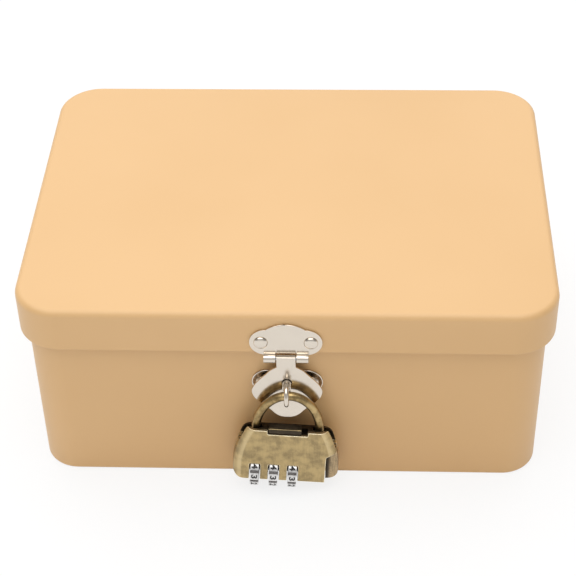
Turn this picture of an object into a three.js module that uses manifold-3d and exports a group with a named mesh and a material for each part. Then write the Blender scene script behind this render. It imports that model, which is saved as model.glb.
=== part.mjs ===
// A slip-lid tin with two rear hinges and a riveted front hasp, closed by a three-dial padlock.
// Millimetres, +Z up, front towards -Y. The origin is the middle of the floor's underside.
import * as THREE from 'three';
import { mergeVertices } from 'three/addons/utils/BufferGeometryUtils.js';
import Module from 'manifold-3d';

const wasm = await Module();
wasm.setup();

// Tin
const lidWidth = 190;
const lidDepth = 140;
const tinHeight = 80;
const sheet = 0.5;
const lidCorner = 16;
const lidEdge = 2.4;
const lidSkirt = 17.2;
const lidHem = 1.3;
const lidHemHeight = 1.8;
const lidOverhang = 3;
const lidSeatGap = 0.4;
const rimBead = 1;
const footLip = 1.9;
const footRound = 0.3;
const floorFlange = 4;
const cornerSteps = 7;

// Clearance between pieces that are cut by, or run in, one another
const gap = 0.3;

// Hinge strap, shared by the hasp and the two rear hinges
const plate = 0.8;
const barrelRadius = 1.6;
const pinRadius = 0.7;
const barrelDrop = 1.2;
const roundSides = 16;

// Rivets
const rivetHead = 2.5;
const rivetHeadHeight = 1.2;
const rivetShank = 1.2;
const rivetTail = 1.9;
const rivetTailHeight = 0.7;

// Rear hinges
const hingeSpread = 50;
const hingeWidth = 24;
const hingeMiddle = 7.2;
const hingeUpper = 15;
const hingeLower = 19;
const hingeNeck = 3.4;
const hingeJoggle = 3.4;
const hingeRivetSpread = 6.8;
const hingeUpperRivet = 9;
const hingeLowerRivet = 13;

// Hasp: plate on the lid, leaf, staple plate on the body
const haspX = 0.5;
const haspWidth = 25.4;
const lobeRadius = 5.7;
const lobeAboveBarrel = 6.6;
const bumpRise = 2.5;
const bumpWidth = 14;
const knuckleOuter = 7.85;
const knuckleInner = 3.35;
const rivetFromLobe = 1.7;
const leafInset = 0.2;
const rollInset = 0.2;
const rollCorner = 0.5;
const tabDrop = 2.9;
const leafNeckDrop = 5.1;
const leafDrop = 28.3;
const leafCrease = 4.3;
const lipDrop = 20.8;
const lipRadius = 23;
const lipSteps = 6;
const stapleDrop = 15.1;

// The leaf's half outline, as shares of its half width and of its length below the neck
const leafShares = [
  [0.268, 0],
  [0.456, 0.069],
  [0.592, 0.156],
  [0.784, 0.272],
  [0.904, 0.362],
  [1, 0.478],
  [0.968, 0.594],
  [0.864, 0.689],
  [0.696, 0.772],
  [0.476, 0.877],
  [0.36, 0.9375],
  [0.208, 0.984],
  [0, 1],
];

// Eye on the staple plate
const eyeDrop = 12.5;
const postRadius = 1.55;
const postReach = 3.9;
const forkHalf = 1;
const forkDepth = 2;
const eyeWire = 0.85;
const eyeRadius = 3.6;
const eyeReach = 4;
const eyeHang = 2.7;
const slotTopDrop = 12.5;
const slotBottomDrop = 20.3;
const washerRadius = 3.1;
const washerThickness = 0.6;
const postHeadRadius = 2.4;
const postHeadHeight = 0.7;

// Padlock case
const caseTopHalf = 14.9;
const caseHalf = 19.35;
const caseHeight = 25.2;
const caseBulgeDrop = 19;
const caseCorner = 5;
const caseThickness = 8;
const caseWall = 1.1;
const caseSideRound = 3.8;
const caseFaceRound = 3.4;
const partingHalf = 0.15;
const caseStock = 8;
const lockTilt = THREE.MathUtils.degToRad(3.6);
const lockSideShift = 1.05;
const hangTurn = THREE.MathUtils.degToRad(15.7);

// Shackle
const shackleTube = 1.6;
const shackleHalf = 11.45;
const archBase = -2.2;
const archRise = 16.5;
const pivotDrop = 4.5;
const pivotEye = 1.9;
const pivotPin = 0.8;
const toeDrop = 8;
const toeNotchTop = 4.9;
const toeNotchHeight = 1.9;
const toeNotchDepth = 1;
const toeSwing = 0.6;

// Padlock top: chassis and slider
const backRimDrop = 3.6;
const chassisRecess = 1.4;
const chassisDepth = 12.8;
const notchLeft = 7.1;
const notchRight = 7.3;
const notchDepth = 1.8;
const notchCorner = 0.8;
const sliderWidth = 11.8;
const sliderProud = 0.8;
const sliderFront = 0.4;
const sliderThickness = 3.2;
const sliderDepth = 3.2;

// Dials
const dialRadius = 6.4;
const dialWidth = 3.1;
const dialPitch = 6.9;
const dialsLeft = 4.25;
const dialDrop = 23.2;
const dialCount = 3;
const digitCount = 10;
const dialGroove = 0.45;
const dialPadShare = 0.72;
const dialReadTurn = THREE.MathUtils.degToRad(19.5);
const windowWidth = 4;
const windowDrop = 17.2;
const hubRadius = 2.6;
const hubLength = 3.4;
const hubGateWidth = 1.2;
const hubGateDepth = 0.8;
const axleRadius = 0.8;
const carrierWidth = 1.8;
const carrierTop = 20.8;
const carrierBlind = 0.5;

// Release button, latch and their room
const buttonHalf = 1.7;
const buttonTop = 10.6;
const buttonWidth = 4.5;
const buttonTravel = 1.5;
const buttonCorner = 2.4;
const shankHeight = 2;
const latchTop = 5.2;
const latchArm = 1.4;
const latchFromShackle = 4.3;
const latchBarDrop = 13.6;
const latchBarHeight = 2;
const latchHalf = 1.2;
const latchBarLeft = 8.4;
const finLength = 4.4;
const finWidth = 0.8;
const springRadius = 1.1;
const springWire = 0.25;
const springTurns = 5;
const springDrop = 21.6;

// Detent spring and case screws
const detentSheet = 0.4;
const detentStrip = 1.3;
const detentFinger = 2;
const detentFingerWidth = 2.4;
const screwHead = 1.7;
const screwHeadHeight = 0.5;
const screwShank = 0.9;
const screwDrop = 8.2;
const screwLeft = 6.4;
const screwFromLatch = 4.3;
const bossWall = 0.6;

// Places that follow from the sizes
const lidHalfX = lidWidth / 2;
const lidHalfY = lidDepth / 2;
const bodyHalfX = lidHalfX - lidOverhang;
const bodyHalfY = lidHalfY - lidOverhang;
const bodyCorner = lidCorner - lidOverhang;
const skirtZ = tinHeight - lidSkirt;
const rimTop = tinHeight - sheet - lidSeatGap;
const barrelZ = skirtZ - barrelDrop;
const barrelY = lidHalfY + barrelRadius;
const boreRadius = pinRadius + gap;
const rivetHole = rivetShank + gap;
const eyeZ = barrelZ - eyeDrop;
const eyeY = -(lidHalfY + eyeReach);
const ringZ = eyeZ - eyeHang;
const overrun = sheet * 8;
const lobeX = haspWidth / 2 - lobeRadius;
const haspRivetSpread = lobeX + rivetFromLobe;
const buttonLeft = caseHalf - buttonWidth;
const latchArmLeft = shackleHalf - latchFromShackle;
const screwRight = latchArmLeft - screwFromLatch;

const tinPaint = new THREE.MeshStandardMaterial({ color: 0xe3b07c, roughness: 0.45, metalness: 0.05 });
const nickel = new THREE.MeshStandardMaterial({ color: 0xd6d1c8, roughness: 0.18, metalness: 1 });
const brass = new THREE.MeshStandardMaterial({ color: 0xa08a5a, roughness: 0.42, metalness: 0.9 });
const blackened = new THREE.MeshStandardMaterial({ color: 0x3a332c, roughness: 0.55, metalness: 0.6 });
const dialSilver = new THREE.MeshStandardMaterial({ color: 0xb9b7b5, roughness: 0.35, metalness: 0.8 });
const steel = new THREE.MeshStandardMaterial({ color: 0x8f9194, roughness: 0.4, metalness: 0.9 });

// Signed volume of an indexed geometry, positive when its faces point outwards.
function signedVolume(geometry) {
  const spot = geometry.getAttribute('position');
  const index = geometry.index.array;
  const a = new THREE.Vector3();
  const b = new THREE.Vector3();
  const c = new THREE.Vector3();
  let volume = 0;
  for (let i = 0; i < index.length; i += 3) {
    a.fromBufferAttribute(spot, index[i]);
    b.fromBufferAttribute(spot, index[i + 1]);
    c.fromBufferAttribute(spot, index[i + 2]);
    volume += a.dot(b.cross(c)) / 6;
  }
  return volume;
}

// One closed body: shared corners merged, empty triangles dropped, faces outwards.
function clean(source) {
  const bare = source.clone();
  bare.deleteAttribute('normal');
  bare.deleteAttribute('uv');
  const merged = mergeVertices(bare, 1e-4);
  const old = merged.index.array;
  const kept = [];
  for (let i = 0; i < old.length; i += 3) {
    const [a, b, c] = [old[i], old[i + 1], old[i + 2]];
    if (a !== b && b !== c && c !== a) {
      kept.push(a, b, c);
    }
  }
  merged.setIndex(kept);
  if (signedVolume(merged) < 0) {
    for (let i = 0; i < kept.length; i += 3) {
      [kept[i + 1], kept[i + 2]] = [kept[i + 2], kept[i + 1]];
    }
    merged.setIndex(kept);
  }
  return merged;
}

function toSolid(geometry) {
  const closed = clean(geometry);
  const vertProperties = new Float32Array(closed.getAttribute('position').array);
  const triVerts = new Uint32Array(closed.index.array);
  return new wasm.Manifold(new wasm.Mesh({ numProp: 3, vertProperties, triVerts }));
}

function toGeometry(solid) {
  const mesh = solid.getMesh();
  const geometry = new THREE.BufferGeometry();
  geometry.setAttribute('position', new THREE.BufferAttribute(new Float32Array(mesh.vertProperties), 3));
  geometry.setIndex(new THREE.BufferAttribute(new Uint32Array(mesh.triVerts), 1));
  return geometry;
}

function join(...pieces) {
  return toGeometry(pieces.map(toSolid).reduce((whole, piece) => whole.add(piece)));
}

function cut(body, ...tools) {
  return toGeometry(tools.map(toSolid).reduce((whole, tool) => whole.subtract(tool), toSolid(body)));
}

function meet(one, other) {
  return toGeometry(toSolid(one).intersect(toSolid(other)));
}

// A box between two corners.
function block(x0, x1, y0, y1, z0, z1) {
  const box = new THREE.BoxGeometry(x1 - x0, y1 - y0, z1 - z0);
  return box.translate((x0 + x1) / 2, (y0 + y1) / 2, (z0 + z1) / 2);
}

function rodX(radius, x0, x1, y, z, sides = roundSides) {
  const rod = new THREE.CylinderGeometry(radius, radius, x1 - x0, sides);
  return rod.rotateZ(Math.PI / 2).translate((x0 + x1) / 2, y, z);
}

function rodY(radius, y0, y1, x, z, sides = roundSides) {
  const rod = new THREE.CylinderGeometry(radius, radius, y1 - y0, sides);
  return rod.translate(x, (y0 + y1) / 2, z);
}

function rodZ(radius, z0, z1, x, y, sides = roundSides) {
  const rod = new THREE.CylinderGeometry(radius, radius, z1 - z0, sides);
  return rod.rotateX(Math.PI / 2).translate(x, y, (z0 + z1) / 2);
}

// A shape drawn in Y and Z, extruded along X.
function prismX(points, x0, x1) {
  const shape = new THREE.Shape(points.map(([y, z]) => new THREE.Vector2(y, z)));
  const solid = new THREE.ExtrudeGeometry(shape, { depth: x1 - x0, bevelEnabled: false });
  return solid.applyMatrix4(new THREE.Matrix4().set(0, 0, 1, x0, 1, 0, 0, 0, 0, 1, 0, 0, 0, 0, 0, 1));
}

// A shape drawn in X and Z, extruded along Y from the front plane y0 back to y1.
function prismY(shape, y0, y1, curveSegments = 8) {
  const solid = new THREE.ExtrudeGeometry(shape, { depth: y1 - y0, bevelEnabled: false, curveSegments });
  return solid.rotateX(Math.PI / 2).translate(0, y1, 0);
}

// The corners of a rounded rectangle at one height.
function roundedLoop(halfX, halfY, radius, z) {
  const loop = [];
  const centres = [[1, 1], [-1, 1], [-1, -1], [1, -1]];
  centres.forEach(([sideX, sideY], corner) => {
    for (let step = 0; step <= cornerSteps; step += 1) {
      const angle = (corner + step / cornerSteps) * Math.PI / 2;
      const x = sideX * (halfX - radius) + radius * Math.cos(angle);
      const y = sideY * (halfY - radius) + radius * Math.sin(angle);
      loop.push(new THREE.Vector3(x, y, z));
    }
  });
  return loop;
}

// A sheet part wrapped round the rounded rectangle. The profile's points are [inset, height]. An
// endless profile closes on itself, and an open one is capped flat at its first and last loop.
function wrapped(profile, halfX, halfY, corner, endless) {
  const loops = profile.map(([inset, z]) => roundedLoop(halfX - inset, halfY - inset, corner - inset, z));
  const spots = loops.flat().flatMap((p) => [p.x, p.y, p.z]);
  const count = loops[0].length;
  const index = [];
  const last = endless ? loops.length : loops.length - 1;
  for (let i = 0; i < last; i += 1) {
    const low = i * count;
    const high = ((i + 1) % loops.length) * count;
    for (let j = 0; j < count; j += 1) {
      const k = (j + 1) % count;
      index.push(low + j, low + k, high + k, low + j, high + k, high + j);
    }
  }
  if (!endless) {
    const first = spots.length / 3;
    spots.push(0, 0, profile[0][1], 0, 0, profile[profile.length - 1][1]);
    const top = (loops.length - 1) * count;
    for (let j = 0; j < count; j += 1) {
      const k = (j + 1) % count;
      index.push(first, k, j, first + 1, top + j, top + k);
    }
  }
  const geometry = new THREE.BufferGeometry();
  geometry.setAttribute('position', new THREE.BufferAttribute(new Float32Array(spots), 3));
  geometry.setIndex(index);
  return geometry;
}

// Points of an arc in a profile, from one angle to another, in degrees.
function arcPoints(centre, radius, from, to, steps) {
  const points = [];
  for (let i = 0; i <= steps; i += 1) {
    const angle = THREE.MathUtils.degToRad(from + (to - from) * i / steps);
    points.push([centre[0] + radius * Math.cos(angle), centre[1] + radius * Math.sin(angle)]);
  }
  return points;
}

// A domed rivet whose head looks along facing, -1 to the front or 1 to the back. Its seat is the
// plane y under the head, and grip is the thickness that it holds.
function rivet(x, y, z, facing, grip) {
  const quarter = arcPoints([0, 0], 1, 90, 0, 4);
  const dome = quarter.map(([r, h]) => new THREE.Vector2(r * rivetHead, h * rivetHeadHeight));
  const profile = [
    ...dome,
    new THREE.Vector2(rivetShank, 0),
    new THREE.Vector2(rivetShank, -grip),
    new THREE.Vector2(rivetTail, -grip),
    new THREE.Vector2(rivetShank, -grip - rivetTailHeight),
    new THREE.Vector2(0, -grip - rivetTailHeight),
  ];
  profile[0].x = 0;
  const turned = new THREE.LatheGeometry(profile, roundSides);
  if (facing < 0) {
    turned.rotateX(Math.PI);
  }
  return turned.translate(x, y, z);
}

const model = new THREE.Group();

function addPiece(group, name, geometry, material) {
  const piece = new THREE.Mesh(clean(geometry), material.clone());
  piece.name = name;
  group.add(piece);
}

// Identical fasteners, numbered from 1.
function addFasteners(group, name, geometries, material) {
  geometries.forEach((geometry, i) => addPiece(group, `${name}_${i + 1}`, geometry, material));
}

// Tin body and floor

function rivetHoles(places, y0, y1) {
  return places.map(([x, z]) => rodY(rivetHole, y0, y1, x, z));
}

const haspRivetPlaces = [-1, 1].map((side) => [haspX + side * haspRivetSpread, barrelZ + lobeAboveBarrel]);
const stapleZ = barrelZ - stapleDrop;
const stapleRivetPlaces = [-1, 1].map((side) => [haspX + side * haspRivetSpread, stapleZ]);
const hingeCentres = [-hingeSpread, hingeSpread];
const hingeUpperPlaces = hingeCentres.flatMap((x) => [-1, 1].map((side) => (
  [x + side * hingeRivetSpread, barrelZ + hingeUpperRivet])));
const hingeLowerPlaces = hingeCentres.flatMap((x) => [-1, 1].map((side) => (
  [x + side * hingeRivetSpread, barrelZ - hingeLowerRivet])));

function makeWall() {
  const beadZ = rimTop - rimBead;
  const profile = [
    [0, footRound],
    ...arcPoints([rimBead, beadZ], rimBead, 180, -90, 9),
    [sheet, beadZ - rimBead - sheet],
    [sheet, sheet],
    [footLip, sheet],
    [footLip, 0],
    [footRound, 0],
  ];
  const wall = wrapped(profile, bodyHalfX, bodyHalfY, bodyCorner, true);
  return cut(
    wall,
    ...rivetHoles(stapleRivetPlaces, -bodyHalfY - overrun, -bodyHalfY + overrun),
    ...rivetHoles(hingeLowerPlaces, bodyHalfY - overrun, bodyHalfY + overrun),
    rodY(postRadius + gap, -bodyHalfY - overrun, -bodyHalfY + overrun, haspX, eyeZ),
  );
}

function makeFloor() {
  const step = sheet + gap;
  const panelEdge = footLip + gap;
  const profile = [
    [panelEdge, 0],
    [panelEdge, step],
    [step, step],
    [step, floorFlange],
    [step + sheet, floorFlange],
    [step + sheet, step + sheet],
    [panelEdge + sheet, step + sheet],
    [panelEdge + sheet, sheet],
  ];
  return wrapped(profile, bodyHalfX, bodyHalfY, bodyCorner, false);
}

function makeLid() {
  const edgeZ = tinHeight - lidEdge;
  const hemRound = lidHem / 2;
  const profile = [
    ...arcPoints([lidEdge, edgeZ], lidEdge, 90, 180, 4),
    ...arcPoints([hemRound, skirtZ + hemRound], hemRound, 180, 360, 4),
    [lidHem, skirtZ + lidHemHeight],
    [sheet, skirtZ + lidHemHeight + sheet],
    ...arcPoints([lidEdge, edgeZ], lidEdge - sheet, 180, 90, 3),
  ];
  const lid = wrapped(profile, lidHalfX, lidHalfY, lidCorner, false);
  return cut(
    lid,
    ...rivetHoles(haspRivetPlaces, -lidHalfY - overrun, -lidHalfY + overrun),
    ...rivetHoles(hingeUpperPlaces, lidHalfY - overrun, lidHalfY + overrun),
  );
}

addPiece(model, 'box_wall', makeWall(), tinPaint);
addPiece(model, 'box_floor', makeFloor(), tinPaint);
addPiece(model, 'lid_shell', makeLid(), tinPaint);

// Rear hinges. The lid's strap has the outer knuckles and the body's strap the middle one.

function barrel(x0, x1, y) {
  return rodX(barrelRadius, x0, x1, y, barrelZ, roundSides);
}

function hingeLidLeaf(x) {
  const half = hingeWidth / 2;
  const inner = hingeMiddle / 2 + gap;
  const strap = block(x - half, x + half, lidHalfY, lidHalfY + plate, barrelZ, barrelZ + hingeUpper);
  const relief = block(x - inner, x + inner, lidHalfY - overrun, barrelY + overrun,
    barrelZ - overrun, barrelZ + barrelRadius + gap);
  const solid = join(strap, barrel(x - half, x + half, barrelY));
  const holes = [-1, 1].map((side) => [x + side * hingeRivetSpread, barrelZ + hingeUpperRivet]);
  return cut(solid, relief, rodX(boreRadius, x - half - overrun, x + half + overrun, barrelY, barrelZ),
    ...rivetHoles(holes, lidHalfY - overrun, lidHalfY + overrun));
}

function hingeBodyLeaf(x) {
  const half = hingeWidth / 2;
  const middle = hingeMiddle / 2;
  const kneeZ = barrelZ - hingeNeck;
  const footZ = kneeZ - hingeJoggle;
  const neck = [
    [lidHalfY, barrelZ],
    [lidHalfY, kneeZ],
    [bodyHalfY, footZ],
    [bodyHalfY, footZ - plate],
    [bodyHalfY + plate, footZ - plate],
    [bodyHalfY + plate, footZ],
    [lidHalfY + plate, kneeZ],
    [lidHalfY + plate, barrelZ],
  ];
  const strap = block(x - half, x + half, bodyHalfY, bodyHalfY + plate, barrelZ - hingeLower, footZ);
  const solid = join(prismX(neck, x - middle, x + middle), strap, barrel(x - middle, x + middle, barrelY));
  const holes = [-1, 1].map((side) => [x + side * hingeRivetSpread, barrelZ - hingeLowerRivet]);
  return cut(solid, rodX(boreRadius, x - half, x + half, barrelY, barrelZ),
    ...rivetHoles(holes, bodyHalfY - overrun, bodyHalfY + overrun));
}

const hingeSides = ['left', 'right'];
hingeSides.forEach((side, i) => {
  const x = hingeCentres[i];
  const half = hingeWidth / 2;
  addPiece(model, `rear_hinge_${side}_lid_leaf`, hingeLidLeaf(x), nickel);
  addPiece(model, `rear_hinge_${side}_body_leaf`, hingeBodyLeaf(x), nickel);
  addPiece(model, `rear_hinge_${side}_pin`, rodX(pinRadius, x - half, x + half, barrelY, barrelZ), steel);
});
const lidHingeRivets = hingeUpperPlaces.map(([x, z]) => rivet(x, lidHalfY + plate, z, 1, plate + sheet));
const bodyHingeRivets = hingeLowerPlaces.map(([x, z]) => rivet(x, bodyHalfY + plate, z, 1, plate + sheet));
addFasteners(model, 'lid_hinge_rivet', lidHingeRivets, nickel);
addFasteners(model, 'body_hinge_rivet', bodyHingeRivets, nickel);

// Hasp plate on the lid and staple plate on the body share one outline: two round lobes joined by
// a straight strip, with a shallow bump on the side away from the hinge.

const leafSteps = 2;

function lobedPlate(centreZ, bumpSide, y0, y1) {
  const bumpHalf = bumpWidth / 2;
  const bumpRadius = (bumpHalf * bumpHalf + bumpRise * bumpRise) / (2 * bumpRise);
  const bumpCentre = centreZ + bumpSide * (lobeRadius + bumpRise - bumpRadius);
  const lobes = [-1, 1].map((side) => (
    rodY(lobeRadius, y0, y1, haspX + side * lobeX, centreZ, roundSides * 2)));
  const strip = block(haspX - lobeX, haspX + lobeX, y0, y1, centreZ - lobeRadius, centreZ + lobeRadius);
  const disc = rodY(bumpRadius, y0, y1, haspX, bumpCentre, roundSides * 3);
  const reach = bumpSide * (lobeRadius + bumpRise + overrun);
  const low = Math.min(centreZ, centreZ + reach);
  const high = Math.max(centreZ, centreZ + reach);
  const bump = meet(disc, block(haspX - lobeX, haspX + lobeX, y0 - overrun, y1 + overrun, low, high));
  return join(...lobes, strip, bump);
}

const haspFront = -lidHalfY - plate;
const haspAxisY = -barrelY;
const rollRadius = barrelRadius - rollInset;

function makeHaspPlate() {
  const face = lobedPlate(barrelZ + lobeAboveBarrel, 1, haspFront, -lidHalfY);
  const foot = block(haspX - knuckleOuter, haspX + knuckleOuter, haspFront, -lidHalfY,
    barrelZ, barrelZ + lobeAboveBarrel);
  const inner = knuckleInner + gap;
  const relief = block(haspX - inner, haspX + inner, haspAxisY - overrun, -lidHalfY + overrun,
    barrelZ - overrun, barrelZ + rollRadius + gap);
  const solid = join(face, foot, barrel(haspX - knuckleOuter, haspX + knuckleOuter, haspAxisY));
  return cut(solid, relief,
    rodX(boreRadius, haspX - haspWidth, haspX + haspWidth, haspAxisY, barrelZ),
    ...rivetHoles(haspRivetPlaces, haspFront - overrun, -lidHalfY + overrun));
}

// The leaf's outline: a smooth line through the left half's points and back up the right half.
// Its knuckle is rolled square at the front and goes down in a flat tab before it steps back.
function leafShape() {
  const half = haspWidth / 2 - leafInset;
  const neckZ = barrelZ - leafNeckDrop;
  const length = leafDrop - leafNeckDrop;
  const side = (sign) => leafShares.map(([widthShare, dropShare]) => (
    new THREE.Vector2(haspX + sign * half * widthShare, neckZ - length * dropShare)));
  const points = [...side(-1), ...side(1).reverse().slice(1)];
  const shape = new THREE.Shape();
  shape.moveTo(points[0].x, points[0].y);
  shape.splineThru(points.slice(1));
  return shape;
}

// The leaf's sheet seen from the side: flat, with a lip at its foot that curves to the front.
function leafProfile() {
  const lipZ = barrelZ - lipDrop;
  const turn = THREE.MathUtils.radToDeg(Math.asin((leafDrop - lipDrop + gap) / lipRadius));
  const centre = [haspFront - lipRadius, lipZ];
  return [
    [-lidHalfY, barrelZ],
    ...arcPoints(centre, lipRadius + plate, 0, -turn, lipSteps),
    ...arcPoints(centre, lipRadius, -turn, 0, lipSteps),
    [haspFront, barrelZ],
  ];
}

function makeHaspLeaf() {
  const blank = prismY(leafShape(), haspFront - overrun, -lidHalfY + overrun, leafSteps);
  const face = meet(blank, prismX(leafProfile(), haspX - haspWidth, haspX + haspWidth));
  const tabFront = haspAxisY - rollRadius;
  const roll = [
    ...arcPoints([haspAxisY, barrelZ], rollRadius, 0, 90, 6),
    ...arcPoints([tabFront + rollCorner, barrelZ + rollRadius - rollCorner], rollCorner, 90, 180, 3),
    [tabFront, barrelZ - tabDrop],
    [haspFront, barrelZ - leafCrease],
    [haspFront, barrelZ - leafNeckDrop],
    [-lidHalfY, barrelZ - leafNeckDrop],
  ];
  const solid = join(face, prismX(roll, haspX - knuckleInner, haspX + knuckleInner));
  const slotHalf = eyeWire + gap;
  const holeRadius = postRadius + gap;
  return cut(
    solid,
    rodX(boreRadius, haspX - haspWidth, haspX + haspWidth, haspAxisY, barrelZ),
    rodY(holeRadius, haspFront - overrun, -lidHalfY + overrun, haspX, eyeZ, roundSides),
    block(haspX - slotHalf, haspX + slotHalf, haspFront - overrun, -lidHalfY + overrun,
      barrelZ - slotBottomDrop, barrelZ - slotTopDrop),
  );
}

function makeStaplePlate() {
  const front = -bodyHalfY - plate;
  const face = lobedPlate(stapleZ, -1, front, -bodyHalfY);
  return cut(face, rodY(postRadius + gap, front - overrun, -bodyHalfY + overrun, haspX, eyeZ),
    ...rivetHoles(stapleRivetPlaces, front - overrun, -bodyHalfY + overrun));
}

// The eye: a round post through plate and wall, headed over a washer inside. Its fork holds the
// top of a closed ring, which stands upright in front and hangs lower than the post.
function makeStapleEye() {
  const postFront = -lidHalfY - postReach;
  const washerBack = -bodyHalfY + sheet + washerThickness;
  const post = rodY(postRadius, postFront, washerBack + postHeadHeight / 2, haspX, eyeZ);
  const fork = block(haspX - forkHalf, haspX + forkHalf, postFront - overrun, postFront + forkDepth,
    eyeZ - overrun, eyeZ + overrun);
  const head = rodY(postHeadRadius, washerBack, washerBack + postHeadHeight, haspX, eyeZ);
  const ring = new THREE.TorusGeometry(eyeRadius, eyeWire, 12, 32);
  ring.rotateY(Math.PI / 2).translate(haspX, eyeY, ringZ);
  return join(cut(post, fork), head, ring);
}

const washerY = -bodyHalfY + sheet;
const eyeWasher = cut(
  rodY(washerRadius, washerY, washerY + washerThickness, haspX, eyeZ),
  rodY(postRadius + gap, washerY - overrun, washerY + overrun, haspX, eyeZ),
);
addPiece(model, 'hasp_plate', makeHaspPlate(), nickel);
addPiece(model, 'hasp_leaf', makeHaspLeaf(), nickel);
addPiece(model, 'hasp_pin',
  rodX(pinRadius, haspX - knuckleOuter, haspX + knuckleOuter, haspAxisY, barrelZ), steel);
addPiece(model, 'staple_plate', makeStaplePlate(), nickel);
addPiece(model, 'staple_eye', makeStapleEye(), nickel);
addPiece(model, 'eye_washer', eyeWasher, steel);
const haspRivets = haspRivetPlaces.map(([x, z]) => rivet(x, haspFront, z, -1, plate + sheet));
const stapleRivets = stapleRivetPlaces.map(([x, z]) => rivet(x, -bodyHalfY - plate, z, -1, plate + sheet));
addFasteners(model, 'hasp_plate_rivet', haspRivets, nickel);
addFasteners(model, 'staple_plate_rivet', stapleRivets, nickel);

// Padlock. Its own frame has z = 0 at the rim of the case and y = 0 at mid-thickness. It hangs
// by its shackle from the ring and leans a little to one side.

const hangPlay = eyeRadius - eyeWire - shackleTube - gap;
const hang = new THREE.Group();
hang.position.set(haspX, eyeY + hangPlay * Math.sin(hangTurn), ringZ - hangPlay * Math.cos(hangTurn));
hang.rotation.y = lockTilt;
model.add(hang);
const lock = new THREE.Group();
lock.position.set(lockSideShift, 0, -archBase - archRise);
hang.add(lock);

const caseFace = caseThickness / 2;
const cavityFace = caseFace - caseWall;
const chassisFace = cavityFace - gap;
const footZ = -caseHeight;
const beyond = caseThickness;
const slotHalf = shackleTube + gap;
const heelSlotRight = -shackleHalf + pivotEye + gap;
const heelSlotFoot = -pivotDrop - pivotEye - gap;
const toeSlotLeft = shackleHalf - shackleTube - gap - toeSwing;
const toeSlotFoot = -toeDrop - gap;

// Half the width of the case at a height above its rim.
function caseHalfAt(z) {
  const share = 1 + z / caseBulgeDrop;
  return caseHalf - (caseHalf - caseTopHalf) * share * share;
}

// The case's outline, drawn in by inset, from the height topZ down.
function caseShape(inset, topZ) {
  const side = caseHalf - inset;
  const corner = Math.max(caseCorner - inset, inset);
  const foot = footZ + inset;
  const topHalf = caseHalfAt(topZ) - inset;
  const controlZ = (topZ - caseBulgeDrop) / 2;
  const shape = new THREE.Shape();
  shape.moveTo(-topHalf, topZ);
  shape.quadraticCurveTo(-side, controlZ, -side, -caseBulgeDrop);
  shape.lineTo(-side, foot + corner);
  shape.quadraticCurveTo(-side, foot, -side + corner, foot);
  shape.lineTo(side - corner, foot);
  shape.quadraticCurveTo(side, foot, side, foot + corner);
  shape.lineTo(side, -caseBulgeDrop);
  shape.quadraticCurveTo(side, controlZ, topHalf, topZ);
  return shape;
}

// The case as a solid drawn in by inset: rounded sides, flat foot, and cut off flat at topZ.
function caseSolid(inset, topZ) {
  const side = caseHalf - inset;
  const topHalf = caseHalfAt(caseStock) - inset;
  const controlZ = (caseStock - caseBulgeDrop) / 2;
  const shape = new THREE.Shape();
  shape.moveTo(-topHalf, caseStock);
  shape.quadraticCurveTo(-side, controlZ, -side, -caseBulgeDrop);
  shape.lineTo(-side, footZ - caseStock);
  shape.lineTo(side, footZ - caseStock);
  shape.lineTo(side, -caseBulgeDrop);
  shape.quadraticCurveTo(side, controlZ, topHalf, caseStock);
  const faceRound = caseFaceRound - inset;
  const sideRound = caseSideRound - inset;
  const pillow = new THREE.ExtrudeGeometry(shape, {
    depth: caseThickness - 2 * caseFaceRound,
    bevelEnabled: true,
    bevelThickness: faceRound,
    bevelSize: sideRound,
    bevelOffset: -sideRound,
    bevelSegments: 4,
    curveSegments: 8,
  });
  pillow.rotateX(Math.PI / 2).translate(0, caseFace - caseFaceRound, 0);
  return meet(pillow, prismY(caseShape(inset, topZ), -beyond, beyond));
}

const dialCentres = [];
for (let i = 0; i < dialCount; i += 1) {
  dialCentres.push(-dialsLeft + (i - (dialCount - 1) / 2) * dialPitch);
}
const dialNames = ['left', 'middle', 'right'];
const windowHalf = windowWidth / 2;
const screwPlaces = [[-screwLeft, -screwDrop], [screwRight, -screwDrop]];
const screwBore = screwShank + gap;
const bossRadius = screwBore + bossWall;

function buttonRoom() {
  const half = buttonHalf + gap;
  return block(buttonLeft - buttonTravel - gap, caseHalf + beyond, -half, half, footZ - beyond,
    -buttonTop + gap);
}

// What both shells give way to: the cavity, the dial windows, the shackle's slots and the button.
function shellCuts() {
  const windows = dialCentres.map((x) => block(x - windowHalf, x + windowHalf, -beyond, beyond,
    footZ - beyond, -windowDrop));
  return [
    caseSolid(caseWall, caseStock),
    ...windows,
    block(-caseHalf - beyond, heelSlotRight, -slotHalf, slotHalf, heelSlotFoot, caseStock),
    block(toeSlotLeft, caseHalf + beyond, -slotHalf, slotHalf, toeSlotFoot, caseStock),
    buttonRoom(),
  ];
}

// The opening in the front shell that shows the release button, with one rounded corner.
function buttonWindow() {
  const left = buttonLeft - gap;
  const top = -buttonTop + gap;
  const right = caseHalf + beyond;
  const shape = new THREE.Shape();
  shape.moveTo(left, footZ - beyond);
  shape.lineTo(right, footZ - beyond);
  shape.lineTo(right, top);
  shape.quadraticCurveTo(left, top, left, top - buttonCorner);
  return prismY(shape, -beyond, buttonHalf + gap, 6);
}

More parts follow.
